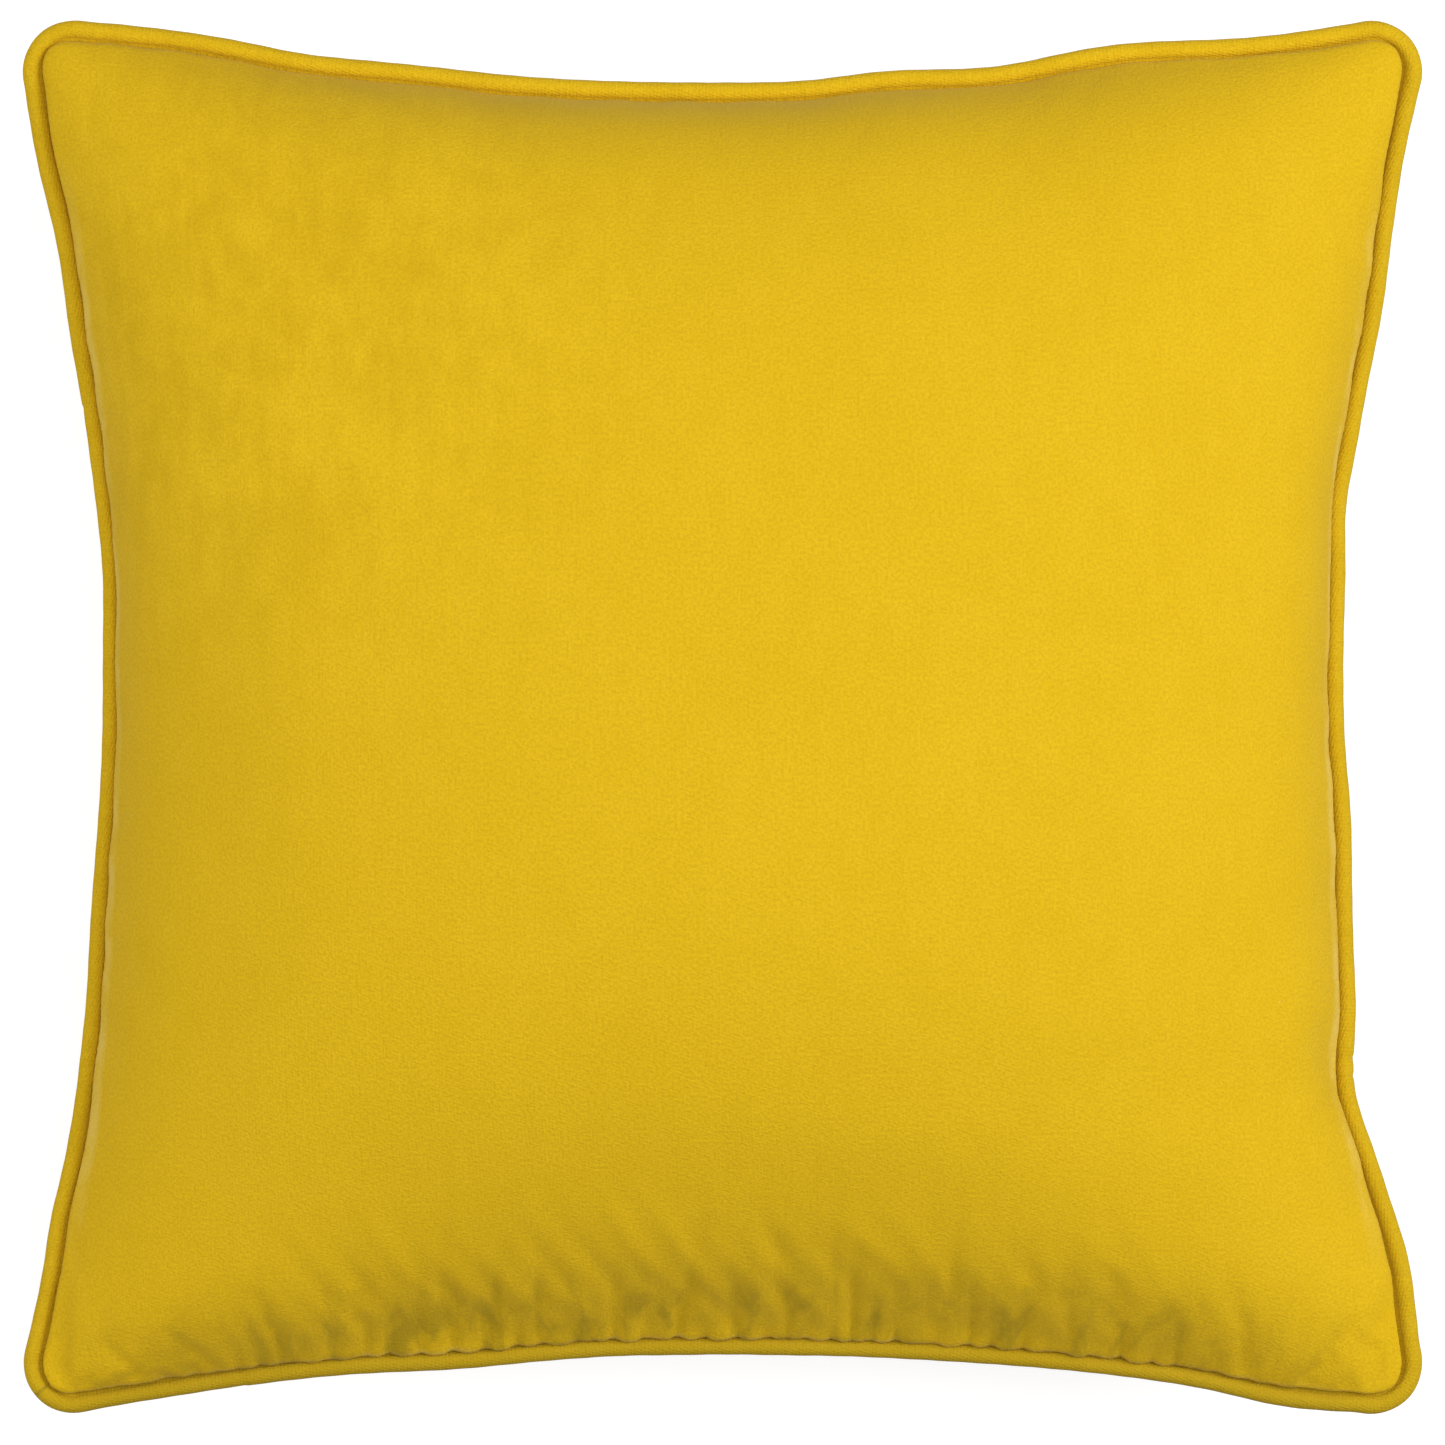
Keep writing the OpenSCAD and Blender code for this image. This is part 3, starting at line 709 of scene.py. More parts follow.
# %% Stuffing a panel with cloth simulation
def stuffed(start, cut, settings):
    """The grid after it is sewn to its edge and the stuffing's pressure has tightened it."""
    count = start.shape[0]
    mesh = bpy.data.meshes.new("stuffing")
    mesh.from_pydata([tuple(v) for v in cut.reshape(-1, 3)], [],
                     grid_faces(count, flip=settings["down"]))
    cloth = in_scene("stuffing", mesh)
    cloth.shape_key_add(name="cut flat")
    sewn = cloth.shape_key_add(name="sewn")
    sewn.data.foreach_set("co", start.astype(np.float32).ravel())
    for number, share in ((1, 0.0), (settings["sewn_by"], 1.0)):
        sewn.value = share
        sewn.keyframe_insert("value", frame=number)
    i, j = border(count)
    edge = cloth.vertex_groups.new(name="sewn edge")
    edge.add([int(k) for k in i * count + j], 1, "REPLACE")
    modifier = cloth.modifiers.new("cloth", "CLOTH")
    s = modifier.settings
    s.quality = settings["quality"]
    s.mass = settings["mass"]
    s.air_damping = settings["air"]
    s.tension_stiffness = settings["tension"]
    s.compression_stiffness = settings["compression"]
    s.shear_stiffness = settings["shear"]
    s.bending_stiffness = settings["bending"]
    s.tension_damping = s.compression_damping = s.shear_damping = settings["damping"]
    s.bending_damping = 0.1
    s.use_pressure = True
    s.uniform_pressure_force = settings["pressure"]
    s.vertex_group_mass = "sewn edge"
    s.effector_weights.gravity = 0
    modifier.collision_settings.use_self_collision = False
    modifier.collision_settings.use_collision = settings["down"]
    modifier.collision_settings.distance_min = 0.001
    modifier.point_cache.frame_start = 1
    modifier.point_cache.frame_end = settings["frames"]
    scene = bpy.context.scene
    for number in range(1, settings["frames"] + 1):
        scene.frame_set(number)
    final = cloth.evaluated_get(bpy.context.evaluated_depsgraph_get()).to_mesh()
    out = np.zeros(len(final.vertices) * 3)
    final.vertices.foreach_get("co", out)
    bpy.data.objects.remove(cloth)
    scene.frame_set(1)
    return out.reshape(start.shape)


# %% Letting the folds relax
RELAX_STEPS = 150             # each one averages every point's move with its neighbours'
FOLDS_FADE = 34 * MM          # how far above the gathered seam its folds stay


def bottom_line(x):
    """Where the bottom seam is, at a place across the pillow."""
    return np.interp(x, seam.points[:PANEL_N, 0], seam.points[:PANEL_N, 1])


def settled(start, blown):
    """Keeps the cloth's folds near the gathered bottom seam and relaxes them elsewhere."""
    change = blown - start
    along_x, along_y = change.copy(), change.copy()
    for _ in range(RELAX_STEPS):
        along_x[1:-1] = (along_x[:-2] + 2 * along_x[1:-1] + along_x[2:]) / 4
        along_y[:, 1:-1] = (along_y[:, :-2] + 2 * along_y[:, 1:-1] + along_y[:, 2:]) / 4
    both = along_x.copy()
    for _ in range(RELAX_STEPS):
        both[:, 1:-1] = (both[:, :-2] + 2 * both[:, 1:-1] + both[:, 2:]) / 4
    # Beside a seam the cloth relaxes only along that seam, which keeps its rise from the edge.
    close = np.clip((np.abs(np.linspace(-1, 1, len(start))) - 0.72) / 0.25, 0, 1)
    at_side = close[:, None] * (1 - 0.5 * close[None, :])
    at_end = close[None, :] * (1 - 0.5 * close[:, None])
    calm = (at_side[..., None] * along_y + at_end[..., None] * along_x
            + (1 - at_side - at_end)[..., None] * both)
    above = blown[..., 1] - bottom_line(blown[..., 0])
    held = 0.06 + 0.64 * np.exp(-(np.maximum(above, 0) / FOLDS_FADE) ** 2)
    return start + calm + held[..., None] * (change - calm)


# %% Run the simulation for both panels
STUFFING = {"pressure": 60, "tension": 15, "compression": 8, "shear": 5, "bending": 0.01,
            "damping": 1, "mass": 0.0005, "air": 0.05, "quality": 5, "frames": 36, "sewn_by": 14}
count = PANEL_N + 1
flat = flat_cut(count, GATHER)
front_start = rough_crown(seam.ring(LIP, EDGE_Z), CROWN_FRONT - EDGE_Z, count)
cut_flat = flat + (0, 0, SEAM_Z)
front_grid = settled(front_start, stuffed(front_start, cut_flat, {**STUFFING, "down": False}))
print(f"front panel: crown {(front_grid[..., 2].max() - SEAM_Z) / MM:.1f} mm above the seam")

# The back panel is pressed flat where the pillow rests, so a floor stops it at z = 0.
# Cloth stops a little short of what it touches, so that floor is that much lower.
TOUCH = 0.9 * MM
resting_surface = flat_square("resting_surface", 1, -TOUCH)
resting_surface.modifiers.new("collision", "COLLISION")
resting_surface.collision.thickness_outer = 0.001
back_edge = back_seam.ring(LIP, -EDGE_Z - (SLIT_Z - EDGE_Z) * back_seam.open)
back_start = rough_crown(back_edge, -CROWN_BACK + EDGE_Z, count)
back_grid = settled(back_start, stuffed(back_start, cut_flat, {**STUFFING, "down": True}))
bpy.data.objects.remove(resting_surface)
print(f"back panel: lowest point {back_grid[..., 2].min() / MM:.1f} mm")

# %% [markdown]
# ### Small shapes in the cloth
#
# The simulation gives the big form and its slack. What is finer than its threads is put in
# afterwards on a grid twice as fine: the little scallops between the stitches along the
# gathered bottom seam, the folds that run up from them, a dimple where the right seam
# kinks, and the slight unevenness of the stuffing under the cloth.

# %% Scallops, gathers and dimples
SCALLOP = 10 * MM             # from one scallop of the bottom seam to the next
GOLDEN = 0.6180339887         # steps of this share spread the folds without a pattern
FOLDS = 34                    # along the bottom seam
SCALLOP_RISE = 1.3 * MM
FOLD_RISE = 0.8 * MM
KINK_DEPTH = 2.2 * MM
CREASE_DEPTH = 0.7 * MM
LUMP_RISE = 0.25 * MM


def soft_spot(grid, at, reach, lean=0.0):
    """A soft oval mask round a point, its long axis turned by lean."""
    x, y = grid[..., 0] - at[0], grid[..., 1] - at[1]
    a = x * math.cos(lean) + y * math.sin(lean)
    b = y * math.cos(lean) - x * math.sin(lean)
    return np.exp(-(a / reach[0]) ** 2 - (b / reach[1]) ** 2)


def scallops(edge_distance, x):
    """Rounded bumps between stitches, fading away from the seam and towards the corners."""
    bump = np.abs(np.cos(math.pi * x / SCALLOP)) ** 0.8
    held = np.clip((0.165 - np.abs(x)) / 0.03, 0, 1)
    return bump * held * np.exp(-(edge_distance / (6 * MM)) ** 2)


def gathers(grid):
    """Soft folds that lean across the cloth above the bottom seam."""
    total = np.zeros(grid.shape[:2])
    for k in range(FOLDS):
        share = (k * GOLDEN) % 1
        at_x = -0.15 + 0.31 * (k + 0.5) / FOLDS
        rise = (12 + 26 * ((k * 0.377) % 1)) * MM
        lean = math.radians(118 + 22 * share)
        long = (9 + 14 * ((k * 0.731) % 1)) * MM
        strength = 0.4 + 0.6 * math.exp(-((at_x + 0.03) / 0.09) ** 2)
        sign = 1 if k % 2 else -1
        at = (at_x, bottom_line(at_x) + rise)
        total += sign * strength * soft_spot(grid, at, (long, 3.2 * MM), lean)
    return total


def detailed(grid, facing):
    """The fine grid of a panel, with its small shapes; facing is 1 for the front."""
    grid = finer_grid(grid)
    normal = grid_normals(grid) * facing
    last = grid.shape[0] - 1
    k = np.arange(last + 1)
    rim = np.minimum(np.minimum(k, last - k)[:, None], np.minimum(k, last - k)[None, :]) / last
    freed = np.clip(rim / 0.012, 0, 1)
    side = np.linalg.norm(np.diff(grid[:, :40], axis=1), axis=2)
    climb = np.concatenate([np.zeros((last + 1, 1)), np.cumsum(side, axis=1)], 1)
    climb = np.concatenate([climb, np.full((last + 1, last + 1 - climb.shape[1]), 1.0)], 1)
    lift = SCALLOP_RISE * scallops(climb, grid[..., 0]) * np.clip(rim / 0.004, 0, 1)
    lift += FOLD_RISE * gathers(grid) * freed
    kink = soft_spot(grid, (0.191, -0.106), (7 * MM, 14 * MM), 0.35)
    crease = soft_spot(grid, (0.193, -0.118), (9 * MM, 2.2 * MM), 0.5)
    lift -= (KINK_DEPTH * kink + CREASE_DEPTH * crease) * freed
    x, y = grid[..., 0], grid[..., 1]
    lumps = (np.sin(31 * x + 2 * np.sin(17 * y)) * np.sin(27 * y + 1.3)
             + 0.6 * np.sin(59 * x - 41 * y + 2 * np.sin(23 * x)))
    lift += LUMP_RISE * lumps * np.clip(rim / 0.08, 0, 1)
    return grid + normal * lift[..., None]


# %% Room for the seam allowance
ALLOWANCE_H = 3.5 * MM        # a panel's least height over the stitched allowance
ZIP_EXTRA = 2.6 * MM          # and the extra depth that the zip's tape and stitches take
ALLOWANCE_RUN = 3 * MM        # how soon a panel has to rise to it


def nearest(stations, points):
    """The number of the station nearest to each point, seen from above."""
    tree = KDTree(len(stations))
    for k, (x, y) in enumerate(stations):
        tree.insert((x, y, 0), k)
    tree.balance()
    return np.array([tree.find((x, y, 0))[1] for x, y in points])


def cleared(grid, facing, line):
    """Lifts a panel where it would press into the seam allowance under its edge."""
    edge = line.ring(LIP, 0)[:, :2]
    flat_points = grid[..., :2].reshape(-1, 2)
    near = nearest(edge, flat_points)
    depth = np.einsum("nk,nk->n", flat_points - edge[near], line.inward[near]).reshape(grid.shape[:2])
    open_here = line.open[near].reshape(depth.shape)
    climb = np.sqrt(1 - (1 - np.clip(depth / ALLOWANCE_RUN, 0, 1)) ** 2)
    low = EDGE_Z + (ALLOWANCE_H - EDGE_Z) * climb
    low += (SLIT_Z - EDGE_Z + ZIP_EXTRA * climb) * open_here
    height = (grid[..., 2] - SEAM_Z) * facing
    lifted = (height + low + np.sqrt((height - low) ** 2 + (0.5 * MM) ** 2)) / 2
    out = grid.copy()
    out[1:-1, 1:-1, 2] = (SEAM_Z + facing * lifted)[1:-1, 1:-1]
    print(f"lifted by up to {(lifted - height)[1:-1, 1:-1].max() / MM:.1f} mm")
    return out


# %% Lapping the panel's edge over the piping
CORNER_LAP = 1.2 * MM         # how far a panel bulges over its lip at the corners
MID_LAPS = (2.2 * MM, 1.9 * MM, 0.7 * MM, 2.3 * MM)     # and halfway along each side
LAP_AT = 4.5 * MM             # how far up the cloth it bulges most
LAP_ROWS = 16                 # rows of the grid, from its edge, that move


def lapped(grid, facing, line):
    """Bulges a panel against the piping, and over it where the seam pulls tight."""
    last = grid.shape[0] - 1
    number = np.arange(last + 1)
    ring_no = np.minimum(number, last - number)
    row = np.minimum(ring_no[:, None], ring_no[None, :])
    chosen = (row > 0) & (row <= LAP_ROWS)
    points = grid[chosen]
    near = nearest(line.points, points[:, :2])
    inward = line.inward[near]
    inset = np.einsum("nk,nk->n", points[:, :2] - line.points[near], inward)
    across = (near % line.per_side) / line.per_side * 2 - 1
    most = np.array(MID_LAPS)[near // line.per_side]
    lap = CORNER_LAP + (most - CORNER_LAP) * (1 - across ** 2) ** 0.8
    lap = lap * (1 - line.open[near])
    far = line.far[near]
    lap = lap + 0.25 * MM * np.sin(far * 2 * math.pi / 0.027 + 2 * np.sin(far * 40))
    run = row[chosen] * 2 * CUT_HALF / last / LAP_AT
    moved = inset - lap * run * np.exp(1 - run)
    height = (points[:, 2] - SEAM_Z) * facing
    scale = np.maximum((PIPING_R + 0.12 * MM) / np.hypot(moved, height), 1)
    scale = np.where(height < 2 * PIPING_R, scale, 1)
    out = grid.copy()
    out[chosen, :2] += inward * (moved * scale - inset)[:, None]
    out[chosen, 2] = SEAM_Z + facing * height * scale
    return out


front_fine = lapped(cleared(detailed(front_grid, 1), 1, seam), 1, seam)
back_fine = lapped(cleared(detailed(back_grid, -1), -1, back_seam), -1, back_seam)
back_fine[..., 2] = np.maximum(back_fine[..., 2], 0.0)
print("front panel refined to", front_fine.shape[0], "points a side")

# %% A panel as a shell with its seam allowance
def set_cloth_place(piece, flat_points):
    """Stores where each vertex was on the flat cloth, for the weave and the pile."""
    layer = piece.data.attributes.new("cloth", "FLOAT_VECTOR", "POINT")
    layer.data.foreach_set("vector", np.asarray(flat_points, np.float32).ravel())


def sewn_shell(name, outer, rings, thick, down, material, slot):
    """Right side, turned seam allowance and wrong side of a panel, as one closed shell.
    The rings lead from the panel's edge to the edge of its wrong side."""
    big = outer.shape[0]
    small = (big + 1) // 2
    wrong = (outer - grid_normals(outer) * thick * (-1 if down else 1))[::2, ::2].copy()
    i, j = border(small)
    wrong[i, j] = rings[-1]
    ring_size = 4 * (small - 1)
    start_wrong = big * big
    start_rings = start_wrong + small * small
    faces = grid_faces(big) + grid_faces(small, start_wrong, flip=True)
    bi, bj = border(big)
    rim = [int(k) for k in bi * big + bj]
    wrong_rim = [int(k) for k in start_wrong + i * small + j]
    last = start_rings + (len(rings) - 2) * ring_size
    for k in range(ring_size):
        after = (k + 1) % ring_size
        a, m, b = rim[2 * k], rim[2 * k + 1], rim[(2 * k + 2) % len(rim)]
        c, d = start_rings + k, start_rings + after
        faces += [(m, a, c), (m, c, d), (m, d, b)]
        faces.append((last + after, last + k, wrong_rim[k], wrong_rim[after]))
    for n in range(len(rings) - 2):
        faces += [f[::-1] for f in band(start_rings + n * ring_size,
                                        start_rings + (n + 1) * ring_size, ring_size)]
    if down:
        faces = [f[::-1] for f in faces]
    verts = np.concatenate([outer.reshape(-1, 3), wrong.reshape(-1, 3), *rings[:-1]])
    print(name, len(faces), "faces")
    return new_piece(name, verts, faces, material, slot)


def set_shell_place(piece, flat_outer, rings):
    """Gives a shell's right side, wrong side and rings their places on the flat cloth."""
    edge = flat_outer[border(flat_outer.shape[0])][::2]
    set_cloth_place(piece, np.concatenate([
        flat_outer.reshape(-1, 3), flat_outer[::2, ::2].reshape(-1, 3), *[edge] * rings
    ]))


def allowance_rings(line, side):
    """Loops of the turned seam allowance, from the lip to the raw edge and back."""
    def loop(inset, inset_open, drop, drop_open):
        return line.ring((inset + (inset_open - inset) * line.open) * MM,
                         side * (drop + (drop_open - drop) * line.open) * MM)

    return [loop(4.0, 4.2, 0.75, 4.65), loop(4.5, 4.45, 0.75, 7.35), loop(11, 11, 0.75, 7.35),
            loop(11, 11, 1.55, 8.15), loop(6.6, 6.6, 1.55, 8.15), loop(4.6, 5.3, 1.6, 8.15)]


flat_fine = finer_grid(flat)
for name, outer, line, down, shift, node in (
    ("velvet_front", front_fine, seam, False, 0.0, "cover_front"),
    ("velvet_back", back_fine, back_seam, True, 0.7, "cover_back"),
):
    rings = allowance_rings(line, -1 if down else 1)
    panel = sewn_shell(name, outer, rings, VELVET_T, down, panel_velvet, "velvet")
    set_shell_place(panel, flat_fine + (shift, 0, 0), len(rings) - 1)
    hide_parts(node)

# %% [markdown]
# ## Piping
#
# Piping is a bias strip of the same velvet folded round a cotton cord. Its two edges lie
# together in the seam. One profile, a round with a flat tail, is swept round the seam line;
# a Blender curve with a bevel could do the round but not the tail. The strip is a little
# uneven along its length, pinched where the right side kinks, and its two ends meet in a small step on the
# left side.

# %% Piping sleeve
WELT_STATIONS = 360           # along each side
RAW_EDGE = 11 * MM            # from the piping's middle to the strip's cut edges
JOIN_Y = 97.5 * MM            # where the strip's two ends meet, on the left
PINCHES = (-107 * MM, -113 * MM)                # creases where the right side kinks
welt_line = SeamLine(WELT_STATIONS)


def welt_radius(line):
    """The piping's radius at each station: uneven, and stepped at the join."""
    f = line.far
    uneven = 0.10 * np.sin(f * 2 * math.pi / 0.047 + 2 * np.sin(f * 31))
    uneven += 0.06 * np.sin(f * 2 * math.pi / 0.0113)
    on_left = line.points[:, 0] < -0.15
    below = on_left / (1 + np.exp((line.points[:, 1] - JOIN_Y) / (0.35 * MM)))
    notch = on_left * np.exp(-((line.points[:, 1] - JOIN_Y) / (0.9 * MM)) ** 2)
    on_right = line.points[:, 0] > 0.15
    pinch = sum(on_right * np.exp(-((line.points[:, 1] - y) / (1.0 * MM)) ** 2) for y in PINCHES)
    return PIPING_R + (uneven * 0.6 - 0.22 * below - 0.22 * notch - 0.35 * pinch - 0.05) * MM


def profile_sweep(line, profile):
    """Sweeps a closed profile, one list of (inset, height) arrays, round the seam line."""
    rings = np.stack([line.ring(inset, up) for inset, up in profile], 1)
    sides = rings.shape[1]
    faces = []
    for k in range(len(rings)):
        faces += band(k * sides, (k + 1) % len(rings) * sides, sides)
    return rings.reshape(-1, 3), faces


welt_r = welt_radius(welt_line)
MOUTH = math.asin(0.7 * MM / PIPING_R)
around = np.linspace(MOUTH - math.pi, math.pi - MOUTH, 22)
inner_r = 2.2 * MM
within = np.linspace(math.pi - 0.02, 0.02 - math.pi, 12)
welt_profile = [(-welt_r * math.cos(a), welt_r * math.sin(a)) for a in around]
welt_profile += [(RAW_EDGE, 0.68 * MM), (RAW_EDGE, 0.04 * MM)]
welt_profile += [(-inner_r * math.cos(a), inner_r * math.sin(a)) for a in within]
welt_profile += [(RAW_EDGE, -0.04 * MM), (RAW_EDGE, -0.68 * MM)]
verts, faces = profile_sweep(welt_line, welt_profile)
piping = new_piece("piping_welt", verts, [f[::-1] for f in faces], piping_velvet, "piping_velvet")
angles = np.concatenate([around, [math.pi] * 2, within, [math.pi] * 2])
set_cloth_place(piping, np.stack([
    np.repeat(welt_line.far, len(angles)), np.tile(angles * PIPING_R, len(welt_line.far)),
    np.zeros(len(angles) * len(welt_line.far))
], 1))
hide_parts("piping_sleeve")

# Painted shade on the piping: each side is darkened by its own share, most along the bottom and none along
# the top.
PAINTED_SIDE_SHADE = np.array([0.62, 0.22, 0.0, 0.12])   # bottom, right, top and left
quarter = welt_line.far / welt_line.length * 4
nearest_corner = np.round(quarter).astype(int)
blend = np.clip(np.abs(quarter - nearest_corner) / 0.05, 0, 1)
here = PAINTED_SIDE_SHADE[np.floor(quarter).astype(int) % 4]
corner = (PAINTED_SIDE_SHADE[nearest_corner % 4] + PAINTED_SIDE_SHADE[(nearest_corner - 1) % 4]) / 2
painted_side_shade = piping.data.attributes.new("painted_side_shade", "FLOAT", "POINT")
turned = corner + (here - corner) * blend
painted_side_shade.data.foreach_set("value", np.repeat(turned, len(angles)).astype(np.float32))
print("piping", len(faces), "faces")

# %% [markdown]
# ## Cotton, thread, tape and zip finishes
#
# The pieces inside the cover are plainer, but each has a surface of its own: calico shows
# its weave, piping cord its fibres, polyester thread a soft gloss along its twist, and a
# zip's coil the clean shine of nylon. The same groups serve them all with other numbers.

# %% Materials: woven and spun
def woven(name, light, dark, spacing, twill=0.0, rough=0.9, relief=0.5, cloud=0.06, **settings):
    material, tree, sockets = new_material(name, rough, **settings)
    at = cloth_place(tree)
    ground = place_group(tree, weave, at, thread_spacing=spacing, twill=twill)
    pile = place_group(tree, clouds, at, cloud_size=cloud, mottle=0.4, tuft_size=0.0006)
    colour = mix_colour(tree, pile["Shade"], dark, light)
    colour = mix_colour(tree, math_node(tree, "MULTIPLY", ground["Gaps"], 0.35), colour, dark)
    gloss = map_range(tree, pile["Tufts"], 0.2, 0.8, rough - 0.06, min(1, rough + 0.06))
    wire(tree, (colour, sockets["Base Color"]), (gloss, sockets["Roughness"]),
         (bump(tree, ground["Height"], relief, spacing * 0.3), sockets["Normal"]))
    return material


def spun(name, light, dark, twist, rough=0.75, **settings):
    """Fibre, thread or cord: its colour and relief vary with the fibres, on the body's own place."""
    material, tree, sockets = new_material(name, rough, **settings)
    at = body_place(tree)
    pile = place_group(tree, clouds, at, cloud_size=twist * 8, mottle=0.6, tuft_size=twist)
    colour = mix_colour(tree, pile["Tufts"], dark, light)
    gloss = map_range(tree, pile["Shade"], 0, 1, rough - 0.08, rough + 0.08)
    wire(tree, (colour, sockets["Base Color"]), (gloss, sockets["Roughness"]),
         (bump(tree, pile["Tufts"], 0.6, twist * 0.4), sockets["Normal"]))
    return material


calico = woven("calico", (0.90, 0.885, 0.84), (0.80, 0.78, 0.72), 0.0006, relief=0.6)
tape_cloth = woven("zip_tape_twill", (0.62, 0.40, 0.012), (0.45, 0.28, 0.006), 0.0007, 1.0, 0.72,
                   Sheen_Weight=0.15)
satin = woven("label_satin", (0.90, 0.90, 0.88), (0.80, 0.80, 0.77), 0.00025, 0.2, 0.36, 0.25,
              Sheen_Weight=0.2, Anisotropic=0.5)
cord_cotton = spun("piping_cord_cotton", (0.86, 0.80, 0.66), (0.66, 0.60, 0.46), 0.00035, 0.9)
gold_thread = spun("gold_thread", (0.60, 0.37, 0.012), (0.38, 0.22, 0.006), 0.00015, 0.5, Sheen_Weight=0.2)
white_thread = spun("white_thread", (0.92, 0.92, 0.90), (0.74, 0.74, 0.71), 0.00015, 0.55)
wadding = spun("polyester_wadding", (0.95, 0.95, 0.94), (0.78, 0.78, 0.77), 0.0011, 0.95,
               Sheen_Weight=0.3, Subsurface_Weight=0.1)

# %% Materials: nylon coil and lacquered metal
nylon, tree, sockets = new_material("dyed_nylon", 0.3, Specular_IOR_Level=0.5)
pile = place_group(tree, clouds, body_place(tree), cloud_size=0.01, mottle=0.4, tuft_size=0.0004)
colour = mix_colour(tree, pile["Shade"], (0.44, 0.27, 0.010), (0.56, 0.36, 0.014))
wire(tree, (colour, sockets["Base Color"]),
     (map_range(tree, pile["Tufts"], 0.2, 0.8, 0.24, 0.38), sockets["Roughness"]))
lacquer, tree, sockets = new_material("gold_lacquered_zinc", 0.3, Metallic=0.6)
pile = place_group(tree, clouds, body_place(tree), cloud_size=0.006, mottle=0.7, tuft_size=0.0003)
colour = mix_colour(tree, pile["Shade"], (0.70, 0.48, 0.09), (0.78, 0.56, 0.12))
wire(tree, (colour, sockets["Base Color"]),
     (map_range(tree, pile["Tufts"], 0.25, 0.75, 0.2, 0.42), sockets["Roughness"]),
     (bump(tree, pile["Tufts"], 0.15, 0.0001), sockets["Normal"]))

# %% [markdown]
# ## The cord inside the piping
#
# Piping cord is three soft strands laid together. Each strand here is one tube that winds
# round the seam line; a smooth tube with a twisted bump would look the same from afar, but
# its outline would be wrong wherever the piping is cut open.

# %% Piping cord
STRAND_R = 0.97 * MM
LAY_R = 1.1 * MM
cord_line = SeamLine(470)
turns = round(cord_line.length / (11 * MM))
strands = []
for strand in range(3):
    angle = 2 * math.pi * (cord_line.far / cord_line.length * turns + strand / 3)
    path = cord_line.ring(LAY_R * np.cos(angle), LAY_R * np.sin(angle))
    strands.append(tube(path, STRAND_R, 7, closed=True))
cord = new_piece("piping_cord_strands", *joined(strands), cord_cotton, "cord_cotton")
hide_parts("piping_cord")
print("piping cord", turns, "turns")

# %% [markdown]
# ## Stitching
#
# A lockstitch is a row of short floats, each dipping into the cloth where it meets the
# next. One path with a small wave reads as that at any distance. The raw edges are
# overlocked: a thread that zigzags round the edge of the allowance.

# %% Stitch paths
STITCH = 3 * MM
THREAD_R = 0.2 * MM
FINE_THREAD_R = 0.16 * MM     # of overlocking, bar tacks and hand stitches
SEAM_INSET = 5.9 * MM         # from the piping's middle to the row of stitches
ON_CLOTH = 1.85 * MM          # height of that row over the seam's middle


def picked(line, keep):
    """Runs of neighbouring stations for which keep is true, as lists of numbers."""
    order = np.arange(len(keep))
    if keep.all():
        return [order], isinstance(line, SeamLine)
    start = int(np.flatnonzero(~keep)[0])
    order, keep = np.roll(order, -start), np.roll(keep, -start)
    edges = np.flatnonzero(np.diff(np.r_[0, keep.astype(int), 0]))
    return [order[a:b] for a, b in zip(edges[::2], edges[1::2]) if b - a > 3], False


def lockstitch(line, inset, height, keep):
    """Tubes along a seam, with a dip at every stitch hole."""
    dip = 0.16 * MM * (1 - np.abs(np.sin(math.pi * line.far / STITCH)) ** 0.6)
    path = line.ring(inset, height - np.sign(height) * dip)
    runs, whole = picked(line, keep)
    return [tube(path[run], THREAD_R, 5, closed=whole) for run in runs]


def zigzag(line, inner, outer, low, high, keep):
    """A thread that wraps the edge of the cloth, over and under, along a line."""
    inset = np.array([inner, outer, outer, inner, inner, outer, outer, inner])
    height = np.array([high, high, low, low, low, low, high, high])
    phase = np.arange(len(line.points)) % 8
    path = line.ring(inset[phase], height[phase])
    runs, whole = picked(line, keep)
    return [tube(path[run], FINE_THREAD_R, 4, closed=whole) for run in runs]


# %% Seam and edge threads of the cover
stitch_line = SeamLine(580)
shut = opened(stitch_line) <= 0
every = np.ones(len(stitch_line.points), bool)
seams = lockstitch(stitch_line, SEAM_INSET, ON_CLOTH, every)
seams += lockstitch(stitch_line, SEAM_INSET, -ON_CLOTH, shut)
thread = new_piece("cover_seam_stitches", *joined(seams), gold_thread, "sewing_thread")
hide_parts("cover_seam_thread")

edge_line = SeamLine(800)
edge_shut = opened(edge_line) <= 0
edge_open = opened(edge_line) >= 1
edges = []
for low, high, keep in ((-1.75, 1.75, edge_shut), (-0.86, 1.75, edge_open), (-8.35, -7.15, edge_open)):
    edges += zigzag(edge_line, 9.3 * MM, 11.25 * MM, low * MM, high * MM, keep)
overlock = new_piece("cover_overlock", *joined(edges), gold_thread, "sewing_thread")
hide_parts("cover_overlock_thread")
print("cover threads", len(thread.data.polygons), "and", len(overlock.data.polygons), "faces")

# %% [markdown]
# ## Zip
#
# A concealed zip hides its coil behind the seam and shows only its pull. Its two tapes,
# stops, slider and pull keep their CAD shapes, because they fit each other. The coils are
# rebuilt as the sprung nylon wire they are, and the rows of stitches as thread.

# %% The zip's own line
ZIP_HALF = 150 * MM
TAIL = 12 * MM
COIL_PITCH = 1.25 * MM
COIL_INSET = 6.1 * MM         # from the piping's middle to the middle of the coils
COIL_THICK = 0.5 * MM         # half a coil's thickness, to the middle of its wire
WIRE_R = 0.22 * MM


